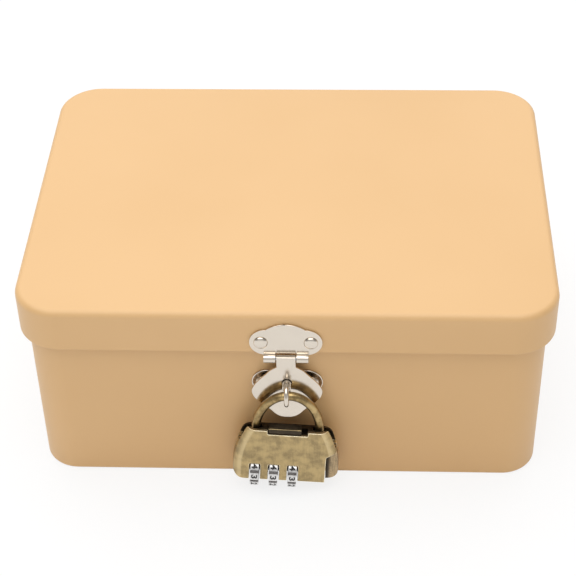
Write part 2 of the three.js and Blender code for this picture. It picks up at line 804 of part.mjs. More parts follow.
// The slider's notch in the front rim, with rounded lower corners.
function sliderNotch() {
  const shape = new THREE.Shape();
  shape.moveTo(-notchLeft, caseStock);
  shape.lineTo(-notchLeft, -notchDepth + notchCorner);
  shape.quadraticCurveTo(-notchLeft, -notchDepth, -notchLeft + notchCorner, -notchDepth);
  shape.lineTo(notchRight - notchCorner, -notchDepth);
  shape.quadraticCurveTo(notchRight, -notchDepth, notchRight, -notchDepth + notchCorner);
  shape.lineTo(notchRight, caseStock);
  return prismY(shape, -beyond, 0, 3);
}

function makeFrontShell() {
  const half = block(-caseHalf - beyond, caseHalf + beyond, -beyond, -partingHalf,
    footZ - beyond, caseStock);
  const hollow = cut(meet(caseSolid(0, 0), half), ...shellCuts(), buttonWindow());
  const bossFront = -cavityFace - caseWall / 2;
  const bosses = screwPlaces.map(([x, z]) => rodY(bossRadius, bossFront, -partingHalf, x, z));
  const bores = screwPlaces.map(([x, z]) => rodY(screwBore, -cavityFace, beyond, x, z));
  return cut(join(hollow, ...bosses), ...bores, sliderNotch());
}

const carriers = [
  [dialCentres[0] - windowHalf - carrierWidth, dialCentres[0] - windowHalf],
  [dialCentres[dialCount - 1] + windowHalf, dialCentres[dialCount - 1] + windowHalf + carrierWidth],
];
const axleEnds = [carriers[0][0] + carrierBlind, carriers[1][1] - carrierBlind];

function makeBackShell() {
  const half = block(-caseHalf - beyond, caseHalf + beyond, partingHalf, beyond,
    footZ - beyond, -backRimDrop);
  const hollow = cut(meet(caseSolid(0, 0), half), ...shellCuts());
  const backFace = cavityFace + caseWall / 2;
  const bosses = screwPlaces.map(([x, z]) => rodY(bossRadius, partingHalf, backFace, x, z));
  const blocks = carriers.map(([x0, x1]) => block(x0, x1, -chassisFace, backFace,
    footZ + caseWall + gap, -carrierTop));
  const bores = screwPlaces.map(([x, z]) => rodY(screwBore, -beyond, beyond, x, z));
  const axleRoom = rodX(axleRadius + gap, axleEnds[0] - gap, axleEnds[1] + gap, 0, -dialDrop);
  return cut(join(hollow, ...bosses, ...blocks), ...bores, axleRoom);
}

function makeChassis() {
  const inset = caseWall + gap;
  const solid = meet(
    caseSolid(inset, caseStock),
    block(-caseHalf, caseHalf, -beyond, beyond, -chassisDepth, -chassisRecess),
  );
  const latchRoom = latchHalf + gap;
  return cut(
    solid,
    block(-caseHalf - beyond, heelSlotRight, -slotHalf, slotHalf, heelSlotFoot, caseStock),
    block(toeSlotLeft, caseHalf + beyond, -slotHalf, slotHalf, toeSlotFoot, caseStock),
    rodY(pivotPin + gap, -beyond, beyond, -shackleHalf, -pivotDrop),
    block(-notchLeft, notchRight, -beyond, -caseFace + sliderFront + sliderThickness + gap,
      -sliderDepth - gap, caseStock),
    block(latchArmLeft - buttonTravel - gap, toeSlotLeft + gap, -latchRoom, latchRoom,
      -chassisDepth - gap, -latchTop + gap),
    buttonRoom(),
    ...screwPlaces.map(([x, z]) => rodY(bossRadius + gap, -beyond, beyond, x, z)),
  );
}

addPiece(lock, 'lock_front_shell', makeFrontShell(), brass);
addPiece(lock, 'lock_back_shell', makeBackShell(), brass);
addPiece(lock, 'lock_chassis', makeChassis(), blackened);

function caseScrew(x, z) {
  const seat = caseFace + gap / 2;
  const shank = rodY(screwShank, -cavityFace + gap, seat + screwHeadHeight / 2, x, z);
  return join(shank, rodY(screwHead, seat, seat + screwHeadHeight, x, z));
}

addFasteners(lock, 'lock_case_screw', screwPlaces.map(([x, z]) => caseScrew(x, z)), brass);

// The shackle's centre line: a short heel, a half ellipse and a straight toe.
class ShackleLine extends THREE.Curve {
  getPoint(t, target = new THREE.Vector3()) {
    const heel = pivotDrop + archBase;
    const toe = toeDrop + archBase;
    const arch = Math.PI * archRise;
    const whole = heel + arch + toe;
    const along = t * whole;
    if (along <= heel) {
      return target.set(-shackleHalf, 0, -pivotDrop + along);
    }
    if (along >= heel + arch) {
      return target.set(shackleHalf, 0, archBase - (along - heel - arch));
    }
    const angle = Math.PI * (1 - (along - heel) / arch);
    return target.set(shackleHalf * Math.cos(angle), 0, archBase + archRise * Math.sin(angle));
  }
}

function makeShackle() {
  const section = new THREE.Shape();
  section.absarc(0, 0, shackleTube, 0, 2 * Math.PI, false);
  const rod = new THREE.ExtrudeGeometry(section, {
    steps: 48, curveSegments: 6, bevelEnabled: false, extrudePath: new ShackleLine(),
  });
  const eye = rodY(pivotEye, -shackleTube, shackleTube, -shackleHalf, -pivotDrop);
  const inner = shackleHalf - shackleTube;
  const notch = block(inner - gap, inner + toeNotchDepth, -beyond, beyond,
    -toeNotchTop - toeNotchHeight, -toeNotchTop);
  return cut(join(rod, eye), notch, rodY(pivotPin + gap, -beyond, beyond, -shackleHalf, -pivotDrop));
}

addPiece(lock, 'shackle', makeShackle(), brass);
addPiece(lock, 'shackle_pivot_pin',
  rodY(pivotPin, -chassisFace, chassisFace, -shackleHalf, -pivotDrop), steel);

// Slider between the shackle's legs: its head fills the notch and its tongue runs in the chassis.
function makeSlider() {
  const left = -notchLeft + gap;
  const right = left + sliderWidth;
  const front = -caseFace + sliderFront;
  const seat = -notchDepth + gap;
  const head = block(left, right, front, front + sliderThickness, seat, sliderProud);
  const tongue = block(left, right, -chassisFace, front + sliderThickness, -sliderDepth, seat);
  return join(head, tongue);
}

addPiece(lock, 'code_slider', makeSlider(), blackened);

// Dials: ten raised pads round each wheel. One pad stands a little above the middle of the front.
function dialOutline() {
  const points = [];
  const sector = 2 * Math.PI / digitCount;
  const padHalf = sector * dialPadShare / 2;
  const padSteps = 3;
  for (let digit = 0; digit < digitCount; digit += 1) {
    const middle = Math.PI - dialReadTurn + digit * sector;
    for (let step = 0; step <= padSteps; step += 1) {
      const angle = middle - padHalf + 2 * padHalf * step / padSteps;
      points.push([dialRadius * Math.cos(angle), dialRadius * Math.sin(angle) - dialDrop]);
    }
    for (const angle of [middle + padHalf, middle + sector - padHalf]) {
      const radius = dialRadius - dialGroove;
      points.push([radius * Math.cos(angle), radius * Math.sin(angle) - dialDrop]);
    }
  }
  return points;
}

function makeDialWheel(x) {
  const wheel = prismX(dialOutline(), x - dialWidth / 2, x + dialWidth / 2);
  return cut(wheel, rodX(hubRadius + gap, x - dialWidth, x + dialWidth, 0, -dialDrop));
}

function makeDialHub(x) {
  const half = hubLength / 2;
  const gateHalf = hubGateWidth / 2;
  const top = -dialDrop + hubRadius;
  return cut(
    rodX(hubRadius, x - half, x + half, 0, -dialDrop),
    rodX(axleRadius + gap, x - hubLength, x + hubLength, 0, -dialDrop),
    block(x, x + hubLength, -gateHalf, gateHalf, top - hubGateDepth, top + gap),
  );
}

dialCentres.forEach((x, i) => {
  addPiece(lock, `dial_wheel_${dialNames[i]}`, makeDialWheel(x), dialSilver);
  addPiece(lock, `dial_hub_${dialNames[i]}`, makeDialHub(x), steel);
});
addPiece(lock, 'dial_axle', rodX(axleRadius, axleEnds[0], axleEnds[1], 0, -dialDrop), steel);

// Spring strip behind the latch, with one finger over each dial.
function makeDetentSpring() {
  const top = -chassisDepth - gap;
  const left = dialCentres[0] - detentFingerWidth / 2;
  const right = dialCentres[dialCount - 1] + detentFingerWidth / 2;
  const front = chassisFace - detentSheet;
  const strip = block(left, right, front, chassisFace, top - detentStrip, top);
  const fingers = dialCentres.map((x) => block(x - detentFingerWidth / 2, x + detentFingerWidth / 2,
    front, chassisFace, top - detentStrip - detentFinger, top - detentStrip / 2));
  return join(strip, ...fingers);
}

addPiece(lock, 'dial_detent_spring', makeDetentSpring(), steel);

// Latch bar with a nose beside the toe's notch and a fin to the right of each dial.
function makeLatchBar() {
  const barTop = -latchBarDrop;
  const barFoot = barTop - latchBarHeight;
  const armRight = latchArmLeft + latchArm;
  const bar = block(-latchBarLeft, armRight + latchArm / 2, -latchHalf, latchHalf, barFoot, barTop);
  const arm = block(latchArmLeft, armRight, -latchHalf, latchHalf, barTop - latchBarHeight / 2, -latchTop);
  const nose = block(armRight - latchArm / 2, shackleHalf - shackleTube - gap, -latchHalf, latchHalf,
    -latchTop - latchArm, -latchTop);
  const fins = dialCentres.map((x) => {
    const middle = x + dialPitch / 2 + finWidth;
    return block(middle - finWidth / 2, middle + finWidth / 2, -latchHalf, latchHalf,
      barFoot - finLength, barFoot + latchBarHeight / 2);
  });
  return join(bar, arm, nose, ...fins);
}

function makeButton() {
  const face = meet(caseSolid(0, 0), block(buttonLeft, caseHalf + beyond, -buttonHalf, buttonHalf,
    footZ - beyond, -buttonTop));
  const shankLeft = latchArmLeft + latchArm + latchArm / 2 + gap;
  const shank = block(shankLeft, buttonLeft + gap, -latchHalf, latchHalf,
    -latchBarDrop - shankHeight, -latchBarDrop);
  return join(face, shank);
}

class CoilLine extends THREE.Curve {
  constructor(left, right, z) {
    super();
    this.left = left;
    this.right = right;
    this.z = z;
  }

  getPoint(t, target = new THREE.Vector3()) {
    const angle = 2 * Math.PI * springTurns * t;
    const x = this.left + (this.right - this.left) * t;
    return target.set(x, springRadius * Math.cos(angle), this.z + springRadius * Math.sin(angle));
  }
}

// Shown pressed together, so that it fits in both of the button's end positions.
function makeButtonSpring() {
  const section = new THREE.Shape();
  section.absarc(0, 0, springWire, 0, 2 * Math.PI, false);
  const left = carriers[1][1] + gap + springWire;
  const right = buttonLeft - buttonTravel - gap - springWire;
  return new THREE.ExtrudeGeometry(section, {
    steps: 10 * springTurns,
    curveSegments: 3,
    bevelEnabled: false,
    extrudePath: new CoilLine(left, right, -springDrop),
  });
}

addPiece(lock, 'latch_bar', makeLatchBar(), steel);
addPiece(lock, 'release_button', makeButton(), brass);
addPiece(lock, 'button_spring', makeButtonSpring(), steel);

export default model;
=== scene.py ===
"""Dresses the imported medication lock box: a lacquered tin with a nickel hasp and a brass dial padlock.

Sizes are in millimetres and turn into metres when a mesh is finished. The row frame has +X to the
viewer's right, -Y out of the front and +Z up, with its origin under the middle of the floor.
"""

from __future__ import annotations

import logging
import math
from collections.abc import Callable, Iterable, Iterator, Sequence
from contextlib import contextmanager
from dataclasses import dataclass, field
from enum import Enum, IntEnum

import bmesh
import bpy
from mathutils import Matrix, Vector

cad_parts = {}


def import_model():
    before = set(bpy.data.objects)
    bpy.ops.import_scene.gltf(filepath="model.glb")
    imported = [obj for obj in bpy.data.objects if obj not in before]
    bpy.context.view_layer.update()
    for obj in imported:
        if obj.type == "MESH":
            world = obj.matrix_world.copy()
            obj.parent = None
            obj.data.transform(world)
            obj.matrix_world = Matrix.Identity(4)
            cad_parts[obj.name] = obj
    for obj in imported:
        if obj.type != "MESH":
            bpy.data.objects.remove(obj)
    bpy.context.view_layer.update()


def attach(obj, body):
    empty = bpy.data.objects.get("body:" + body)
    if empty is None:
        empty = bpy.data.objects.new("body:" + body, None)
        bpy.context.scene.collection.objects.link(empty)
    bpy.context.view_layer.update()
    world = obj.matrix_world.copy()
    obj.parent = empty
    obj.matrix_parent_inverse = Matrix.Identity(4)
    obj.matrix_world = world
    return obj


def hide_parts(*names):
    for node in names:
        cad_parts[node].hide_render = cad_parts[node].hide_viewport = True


LOG = logging.getLogger("lock_box")
MM = 0.001

# The padlock's lean to the right, in degrees.
TILT = 3.6
# How far a cutter stands out of what it cuts, in millimetres.
REACH = 4.0
# Corners closer than this, in millimetres, become one after a cut.
CLOSE = 0.02
# Edges flatter than this, in degrees, are dissolved after a cut.
FLAT = 0.6
# Edges sharper than this, in degrees, are rounded on a cut piece, and on one that holds a bent sheet or tube.
CREASE = 40.0
BENT_CREASE = 50.0
# How strongly large faces pull the normals at their edges, where 50 is evenly.
FACE_WEIGHT = 80

Point = tuple[float, float]
Colour = tuple[float, float, float]


# Node trees


class Value:
    """A node socket that takes part in Python arithmetic."""

    def __init__(self, graph: "Graph", socket: bpy.types.NodeSocket) -> None:
        """Wrap one output socket.

        Args:
            graph: The tree that the socket is in.
            socket: The output socket.
        """
        self.graph = graph
        self.socket = socket

    def apply(self, operation: str, *others: "Value | float", first: "Value | float | None" = None) -> "Value":
        """Add one Math node.

        Args:
            operation: The Math node's operation.
            others: The operands after the first one.
            first: The first operand, if it isn't this value.

        Returns:
            The node's result.
        """
        operands = [self if first is None else first, *others]
        return self.graph.node("ShaderNodeMath", {"operation": operation}, dict(enumerate(operands)))

    def __add__(self, other: "Value | float") -> "Value":
        """Sum."""
        return self.apply("ADD", other)

    def __radd__(self, other: float) -> "Value":
        """Sum with a number on the left."""
        return self.apply("ADD", other)

    def __sub__(self, other: "Value | float") -> "Value":
        """Difference."""
        return self.apply("SUBTRACT", other)

    def __rsub__(self, other: float) -> "Value":
        """Difference with a number on the left."""
        return self.apply("SUBTRACT", self, first=other)

    def __mul__(self, other: "Value | float") -> "Value":
        """Product."""
        return self.apply("MULTIPLY", other)

    def __rmul__(self, other: float) -> "Value":
        """Product with a number on the left."""
        return self.apply("MULTIPLY", other)

    def __truediv__(self, other: "Value | float") -> "Value":
        """Quotient."""
        return self.apply("DIVIDE", other)

    def __rtruediv__(self, other: float) -> "Value":
        """Quotient with a number on the left."""
        return self.apply("DIVIDE", self, first=other)

    def smooth(self, low: float, high: float) -> "Value":
        """Ease from 0 at low to 1 at high.

        Args:
            low: The value that gives 0.
            high: The value that gives 1.

        Returns:
            The eased value.
        """
        settings = {"interpolation_type": "SMOOTHSTEP"}
        return self.graph.node("ShaderNodeMapRange", settings, {"Value": self, "From Min": low, "From Max": high})


class Graph:
    """A node tree of a material or of Geometry Nodes, with one way to add a node."""

    def __init__(self, tree: bpy.types.NodeTree) -> None:
        """Start on a tree.

        Args:
            tree: The tree that the nodes go into.
        """
        self.tree = tree

    def raw(self, kind: str, settings: dict[str, object] | None = None,
            inputs: dict[str | int, object] | None = None) -> bpy.types.Node:
        """Add a node.

        Args:
            kind: The node's type.
            settings: Its own settings, which are set first.
            inputs: Values or links for its sockets, by name or by number.

        Returns:
            The node.
        """
        made = self.tree.nodes.new(kind)
        for key, setting in (settings or {}).items():
            setattr(made, key, setting)
        for key, item in (inputs or {}).items():
            self.feed(self._socket(made, key), item)
        return made

    def node(self, kind: str, settings: dict[str, object] | None = None,
             inputs: dict[str | int, object] | None = None, output: str | int = 0) -> Value:
        """Add a node and take one of its outputs.

        Args:
            kind: The node's type.
            settings: Its own settings.
            inputs: Values or links for its sockets.
            output: The output's name or number.

        Returns:
            The output as a value.
        """
        made = self.raw(kind, settings, inputs)
        if isinstance(output, int):
            live = [socket for socket in made.outputs if socket.enabled]
            return Value(self, live[output])
        return Value(self, made.outputs[output])

    def feed(self, socket: bpy.types.NodeSocket, item: object) -> None:
        """Give a socket a link or a number.

        Args:
            socket: The input socket.
            item: A value, a socket, a number or a vector.
        """
        if isinstance(item, Value):
            self.tree.links.new(item.socket, socket)
        elif isinstance(item, bpy.types.NodeSocket):
            self.tree.links.new(item, socket)
        else:
            socket.default_value = item

    def mix(self, factor: "Value | float", low: "Value | Colour", high: "Value | Colour") -> Value:
        """Blend two colours.

        Args:
            factor: 0 for low and 1 for high.
            low: The first colour.
            high: The second colour.

        Returns:
            The blended colour.
        """
        ends = [end if isinstance(end, Value) else (*end, 1.0) for end in (low, high)]
        settings = {"data_type": "RGBA", "clamp_factor": True}
        return self.node("ShaderNodeMix", settings, dict(enumerate((factor, *ends))))

    @staticmethod
    def _socket(made: bpy.types.Node, key: str | int) -> bpy.types.NodeSocket:
        """Find an input by its name or by its number among those in use."""
        if isinstance(key, int):
            return [socket for socket in made.inputs if socket.enabled][key]
        return made.inputs[key]

class Surface(Graph):
    """A material's tree with its Principled shader."""

    def __init__(self, name: str) -> None:
        """Start a material.

        Args:
            name: The material's name.
        """
        self.material = bpy.data.materials.new(name)
        self.material.use_nodes = True
        super().__init__(self.material.node_tree)
        self.shader = self.tree.nodes["Principled BSDF"]
        self.place = self.node("ShaderNodeTexCoord", output="Object")

    def noise(self, scale: float, detail: float = 3.0, stretch: Sequence[float] = (1.0, 1.0, 1.0),
              roughness: float = 0.5) -> Value:
        """Cloudy noise in object space.

        Args:
            scale: Features per metre.
            detail: Octaves.
            stretch: The scale along each axis.
            roughness: How strong the finer octaves are.

        Returns:
            The noise, from 0 to 1.
        """
        spot = self.node("ShaderNodeMapping", {}, {"Vector": self.place, "Scale": tuple(stretch)})
        inputs = {"Vector": spot, "Scale": scale, "Detail": detail, "Roughness": roughness}
        return self.node("ShaderNodeTexNoise", {}, inputs, output="Fac")

    def facing(self, axis: str) -> Value:
        """How far the surface faces along an axis of the row frame at rest, from -1 to 1."""
        rest = self.node("ShaderNodeAttribute", {"attribute_name": "rest_normal"}, output="Vector")
        return self.node("ShaderNodeSeparateXYZ", {}, {"Vector": rest}, output=axis)

    def across(self, lean: float) -> Value:
        """The place along the padlock's leaning X axis.

        Args:
            lean: The lean in degrees.

        Returns:
            The place, in metres.
        """
        turn = (0.0, math.radians(-lean), 0.0)
        spot = self.node("ShaderNodeMapping", {}, {"Vector": self.place, "Rotation": turn})
        return self.node("ShaderNodeSeparateXYZ", {}, {"Vector": spot}, output="X")

    def bump(self, height: Value, distance: float, strength: float = 1.0) -> None:
        """Raise the surface by a height.

        Args:
            height: The height, from 0 to 1.
            distance: Metres at a height of 1.
            strength: The share of the effect.
        """
        inputs = {"Height": height, "Distance": distance, "Strength": strength}
        self.set("Normal", self.node("ShaderNodeBump", {}, inputs))

    def set(self, socket: str, item: object) -> None:
        """Set one of the shader's sockets.

        Args:
            socket: The socket's name.
            item: A value or a link.
        """
        self.feed(self.shader.inputs[socket], item)


# Finishes


@dataclass(frozen=True)
class Lacquer:
    """Satin lacquer on tinplate, faintly uneven."""

    name: str = "apricot_lacquer"
    colour: Colour = (0.695, 0.435, 0.20)
    deeper: Colour = (0.665, 0.41, 0.182)
    roughness: float = 0.42
    grain: float = 0.00001
    drift_scale: float = 9.0
    smear_scale: float = 38.0
    coat: float = 0.12
    coat_roughness: float = 0.25
    grain_scale: float = 1400.0

    def build(self) -> bpy.types.Material:
        """Make the material.

        Returns:
            The finished material.
        """
        surface = Surface(self.name)
        drift = surface.noise(self.drift_scale, 3.0)
        surface.set("Base Color", surface.mix(drift.smooth(0.3, 0.75), self.colour, self.deeper))
        smear = surface.noise(self.smear_scale, 4.0, (1.0, 1.6, 1.0))
        surface.set("Roughness", self.roughness + 0.1 * smear)
        surface.set("Coat Weight", self.coat)
        surface.set("Coat Roughness", self.coat_roughness)
        surface.bump(surface.noise(self.grain_scale, 2.0), self.grain, 0.6)
        return surface.material


@dataclass(frozen=True)
class Nickel:
    """Polished nickel plate with fine pits and wipe marks."""

    name: str = "bright_nickel"
    colour: Colour = (0.735, 0.665, 0.575)
    pitted: Colour = (0.56, 0.50, 0.43)
    roughness: float = 0.12
    pits: float = 0.00001
    pit_scale: float = 4200.0
    cloud_scale: float = 260.0
    ripple_scale: float = 900.0

    def build(self) -> bpy.types.Material:
        """Make the material.

        Returns:
            The finished material.
        """
        surface = Surface(self.name)
        pits = surface.noise(self.pit_scale, 2.0).smooth(0.60, 0.78)
        cloud = surface.noise(self.cloud_scale, 3.0)
        surface.set("Base Color", surface.mix(0.35 * pits + 0.22 * cloud, self.colour, self.pitted))
        surface.set("Metallic", 1.0)
        surface.set("Roughness", self.roughness + 0.08 * cloud + 0.1 * pits)
        surface.bump(surface.noise(self.ripple_scale, 3.0), self.pits, 0.3)
        return surface.material


@dataclass(frozen=True)
class AgedBrass:
    """Antique brass: brushed, with darker tarnish in patches, painted shade that can darken its undersides, and a
    painted highlight where its faces turn to the sides.
    """

    name: str = "aged_brass"
    colour: Colour = (0.56, 0.42, 0.205)
    patina: Colour = (0.31, 0.235, 0.125)
    roughness: float = 0.34
    # The colour of the painted highlight where the faces turn to the sides.
    rubbed: Colour = (0.80, 0.64, 0.37)
    patches: float = 230.0
    streak_scale: float = 330.0
    fine_scale: float = 2300.0
    grain: Sequence[float] = (5.0, 5.0, 0.5)
    depth: float = 0.00003
    # The share of the painted highlight where the faces turn to the sides.
    turned: float = 0.5
    # How strongly painted shade darkens the undersides towards the darker colour.
    under: float = 0.0
    below_range: Point = (-0.75, 0.35)
    bend_in: Point = (0.04, 0.22)
    bend_out: Point = (0.35, 0.7)

    def build(self) -> bpy.types.Material:
        """Make the material.

        Returns:
            The finished material.
        """
        surface = Surface(self.name)
        patch = surface.noise(self.patches, 5.0, roughness=0.6).smooth(0.36, 0.70)
        streak = surface.noise(self.streak_scale, 4.0, self.grain, 0.65)
        fine = surface.noise(self.fine_scale, 2.0)
        # Painted shade: the undersides darken towards the darker colour, so the tops stay lighter.
        below = 1.0 - surface.facing("Z").smooth(*self.below_range)
        patches_and_shade = 0.5 * patch + 0.45 * streak + 0.3 * fine - 0.12 + self.under * below
        side = surface.facing("X").apply("ABSOLUTE")
        # Painted highlight: a lighter band where the faces turn towards the sides.
        bend = side.smooth(*self.bend_in) * (1.0 - side.smooth(*self.bend_out)) * (0.5 + streak)
        ground = surface.mix(patches_and_shade.smooth(0.0, 1.0), self.colour, self.patina)
        surface.set("Base Color", surface.mix(self.turned * bend, ground, self.rubbed))
        surface.set("Metallic", 1.0)
        surface.set("Roughness", self.roughness + 0.16 * streak + 0.1 * patch)
        surface.bump(0.5 * streak + 0.5 * fine, self.depth, 0.5)
        return surface.material


@dataclass(frozen=True)
class ShadedBrass:
    """The button's brass: streaked from top to bottom, with painted shade along its left edge."""

    name: str = "button_brass"
    colour: Colour = (0.52, 0.385, 0.225)
    streak: Colour = (0.25, 0.19, 0.12)
    grime: Colour = (0.045, 0.038, 0.032)
    roughness: float = 0.34
    edge: float = 0.0146
    fade: float = 0.0014
    ragged: float = 0.0012
    brushed_scale: float = 420.0
    fine_scale: float = 2300.0
    depth: float = 0.00002
    lean: float = TILT

    def build(self) -> bpy.types.Material:
        """Make the material.

        Returns:
            The finished material.
        """
        surface = Surface(self.name)
        across = surface.across(self.lean)
        brushed = surface.noise(self.brushed_scale, 4.0, (6.0, 6.0, 0.3), 0.6)
        fine = surface.noise(self.fine_scale, 2.0)
        ground = surface.mix((0.75 * brushed + 0.25 * fine).smooth(0.38, 0.66), self.colour, self.streak)
        # Painted shade: the left edge darkens, with a ragged border.
        wander = across + self.ragged * brushed
        dark = 1.0 - wander.smooth(self.edge, self.edge + self.fade)
        surface.set("Base Color", surface.mix(0.9 * dark, ground, self.grime))
        surface.set("Metallic", 1.0)
        surface.set("Roughness", self.roughness + 0.15 * brushed + 0.15 * dark)
        surface.bump(0.7 * brushed + 0.3 * fine, self.depth, 0.5)
        return surface.material


@dataclass(frozen=True)
class PlainMetal:
    """A metal with a fine brushed grain."""

    name: str
    colour: Colour
    darker: Colour
    roughness: float
    scale: float = 900.0
    metallic: float = 1.0
    depth: float = 0.00001

    def build(self) -> bpy.types.Material:
        """Make the material.

        Returns:
            The finished material.
        """
        surface = Surface(self.name)
        grain = surface.noise(self.scale, 3.0)
        surface.set("Base Color", surface.mix(grain.smooth(0.35, 0.7), self.colour, self.darker))
        surface.set("Metallic", self.metallic)
        surface.set("Roughness", self.roughness + 0.15 * grain)
        surface.bump(grain, self.depth, 0.5)
        return surface.material


@dataclass(frozen=True)
class Knurl:
    """The dials' ticked grooves: fine dark notches side by side along the axle."""

    name: str = "ticked_groove"
    colour: Colour = (0.36, 0.34, 0.33)
    notch: Colour = (0.05, 0.045, 0.04)
    roughness: float = 0.4
    pitch: float = 0.00042
    grain_scale: float = 2600.0
    wander: float = 2.5
    depth: float = 0.00006
    lean: float = TILT

    def build(self) -> bpy.types.Material:
        """Make the material.

        Returns:
            The finished material.
        """
        surface = Surface(self.name)
        grain = surface.noise(self.grain_scale, 2.0)
        wave = surface.across(self.lean) * (2 * math.pi / self.pitch) + self.wander * grain
        tick = wave.apply("SINE").smooth(-0.2, 0.7)
        surface.set("Base Color", surface.mix(tick, self.colour, self.notch))
        surface.set("Metallic", 1.0)
        surface.set("Roughness", self.roughness + 0.2 * grain)
        surface.bump(1.0 - tick, self.depth, 0.7)
        return surface.material


@dataclass(frozen=True)
class DarkBrass:
    """Blackened brass, streaked and a little worn."""

    name: str = "dark_brass"
    colour: Colour = (0.055, 0.043, 0.030)
    worn: Colour = (0.17, 0.13, 0.085)
    roughness: float = 0.36
    wear: float = 0.8
    streak_scale: float = 900.0
    speck_scale: float = 2600.0
    depth: float = 0.000012

    def build(self) -> bpy.types.Material:
        """Make the material.

        Returns:
            The finished material.
        """
        surface = Surface(self.name)
        streak = surface.noise(self.streak_scale, 4.0, (0.35, 2.5, 2.5), 0.6)
        speck = surface.noise(self.speck_scale, 2.0)
        wear = self.wear * (0.75 * streak + 0.25 * speck).smooth(0.46, 0.76)
        surface.set("Base Color", surface.mix(wear, self.colour, self.worn))
        surface.set("Metallic", 1.0)
        surface.set("Roughness", self.roughness + 0.2 * speck)
        surface.bump(0.6 * streak + 0.4 * speck, self.depth, 0.5)
        return surface.material


# The shackle's brass, with painted shade on its undersides that leaves its tops lighter.
ROD_BRASS = AgedBrass("aged_brass_rod", (0.60, 0.44, 0.21), (0.17, 0.115, 0.05), 0.24, patches=300.0,
                      grain=(1.0, 1.0, 1.0), turned=0.0, under=0.55)
# Darker brass that paints shade on the notch's floor.
SHADED_BRASS = AgedBrass("shaded_brass", (0.30, 0.22, 0.12), (0.12, 0.09, 0.05), 0.4, turned=0.0)
RUBBED_BRASS = PlainMetal("rubbed_brass", (0.93, 0.83, 0.60), (0.78, 0.64, 0.40), 0.34)
DIAL_SILVER = PlainMetal("dial_silver", (0.80, 0.79, 0.78), (0.64, 0.63, 0.62), 0.28)
PLAIN_STEEL = PlainMetal("plain_steel", (0.50, 0.51, 0.52), (0.38, 0.385, 0.39), 0.32)
INK = PlainMetal("black_ink", (0.012, 0.011, 0.01), (0.03, 0.028, 0.026), 0.5, 1500.0, 0.0)


@dataclass
class Finishes:
    """Every finish of the box, made once."""

    lacquer: bpy.types.Material = field(default_factory=Lacquer().build)
    nickel: bpy.types.Material = field(default_factory=Nickel().build)
    brass: bpy.types.Material = field(default_factory=AgedBrass().build)
    rod: bpy.types.Material = field(default_factory=ROD_BRASS.build)
    rubbed: bpy.types.Material = field(default_factory=RUBBED_BRASS.build)
    dark: bpy.types.Material = field(default_factory=DarkBrass().build)
    shaded: bpy.types.Material = field(default_factory=SHADED_BRASS.build)
    button: bpy.types.Material = field(default_factory=ShadedBrass().build)
    groove: bpy.types.Material = field(default_factory=Knurl().build)
    dial: bpy.types.Material = field(default_factory=DIAL_SILVER.build)
    steel: bpy.types.Material = field(default_factory=PLAIN_STEEL.build)
    ink: bpy.types.Material = field(default_factory=INK.build)


# Mesh work


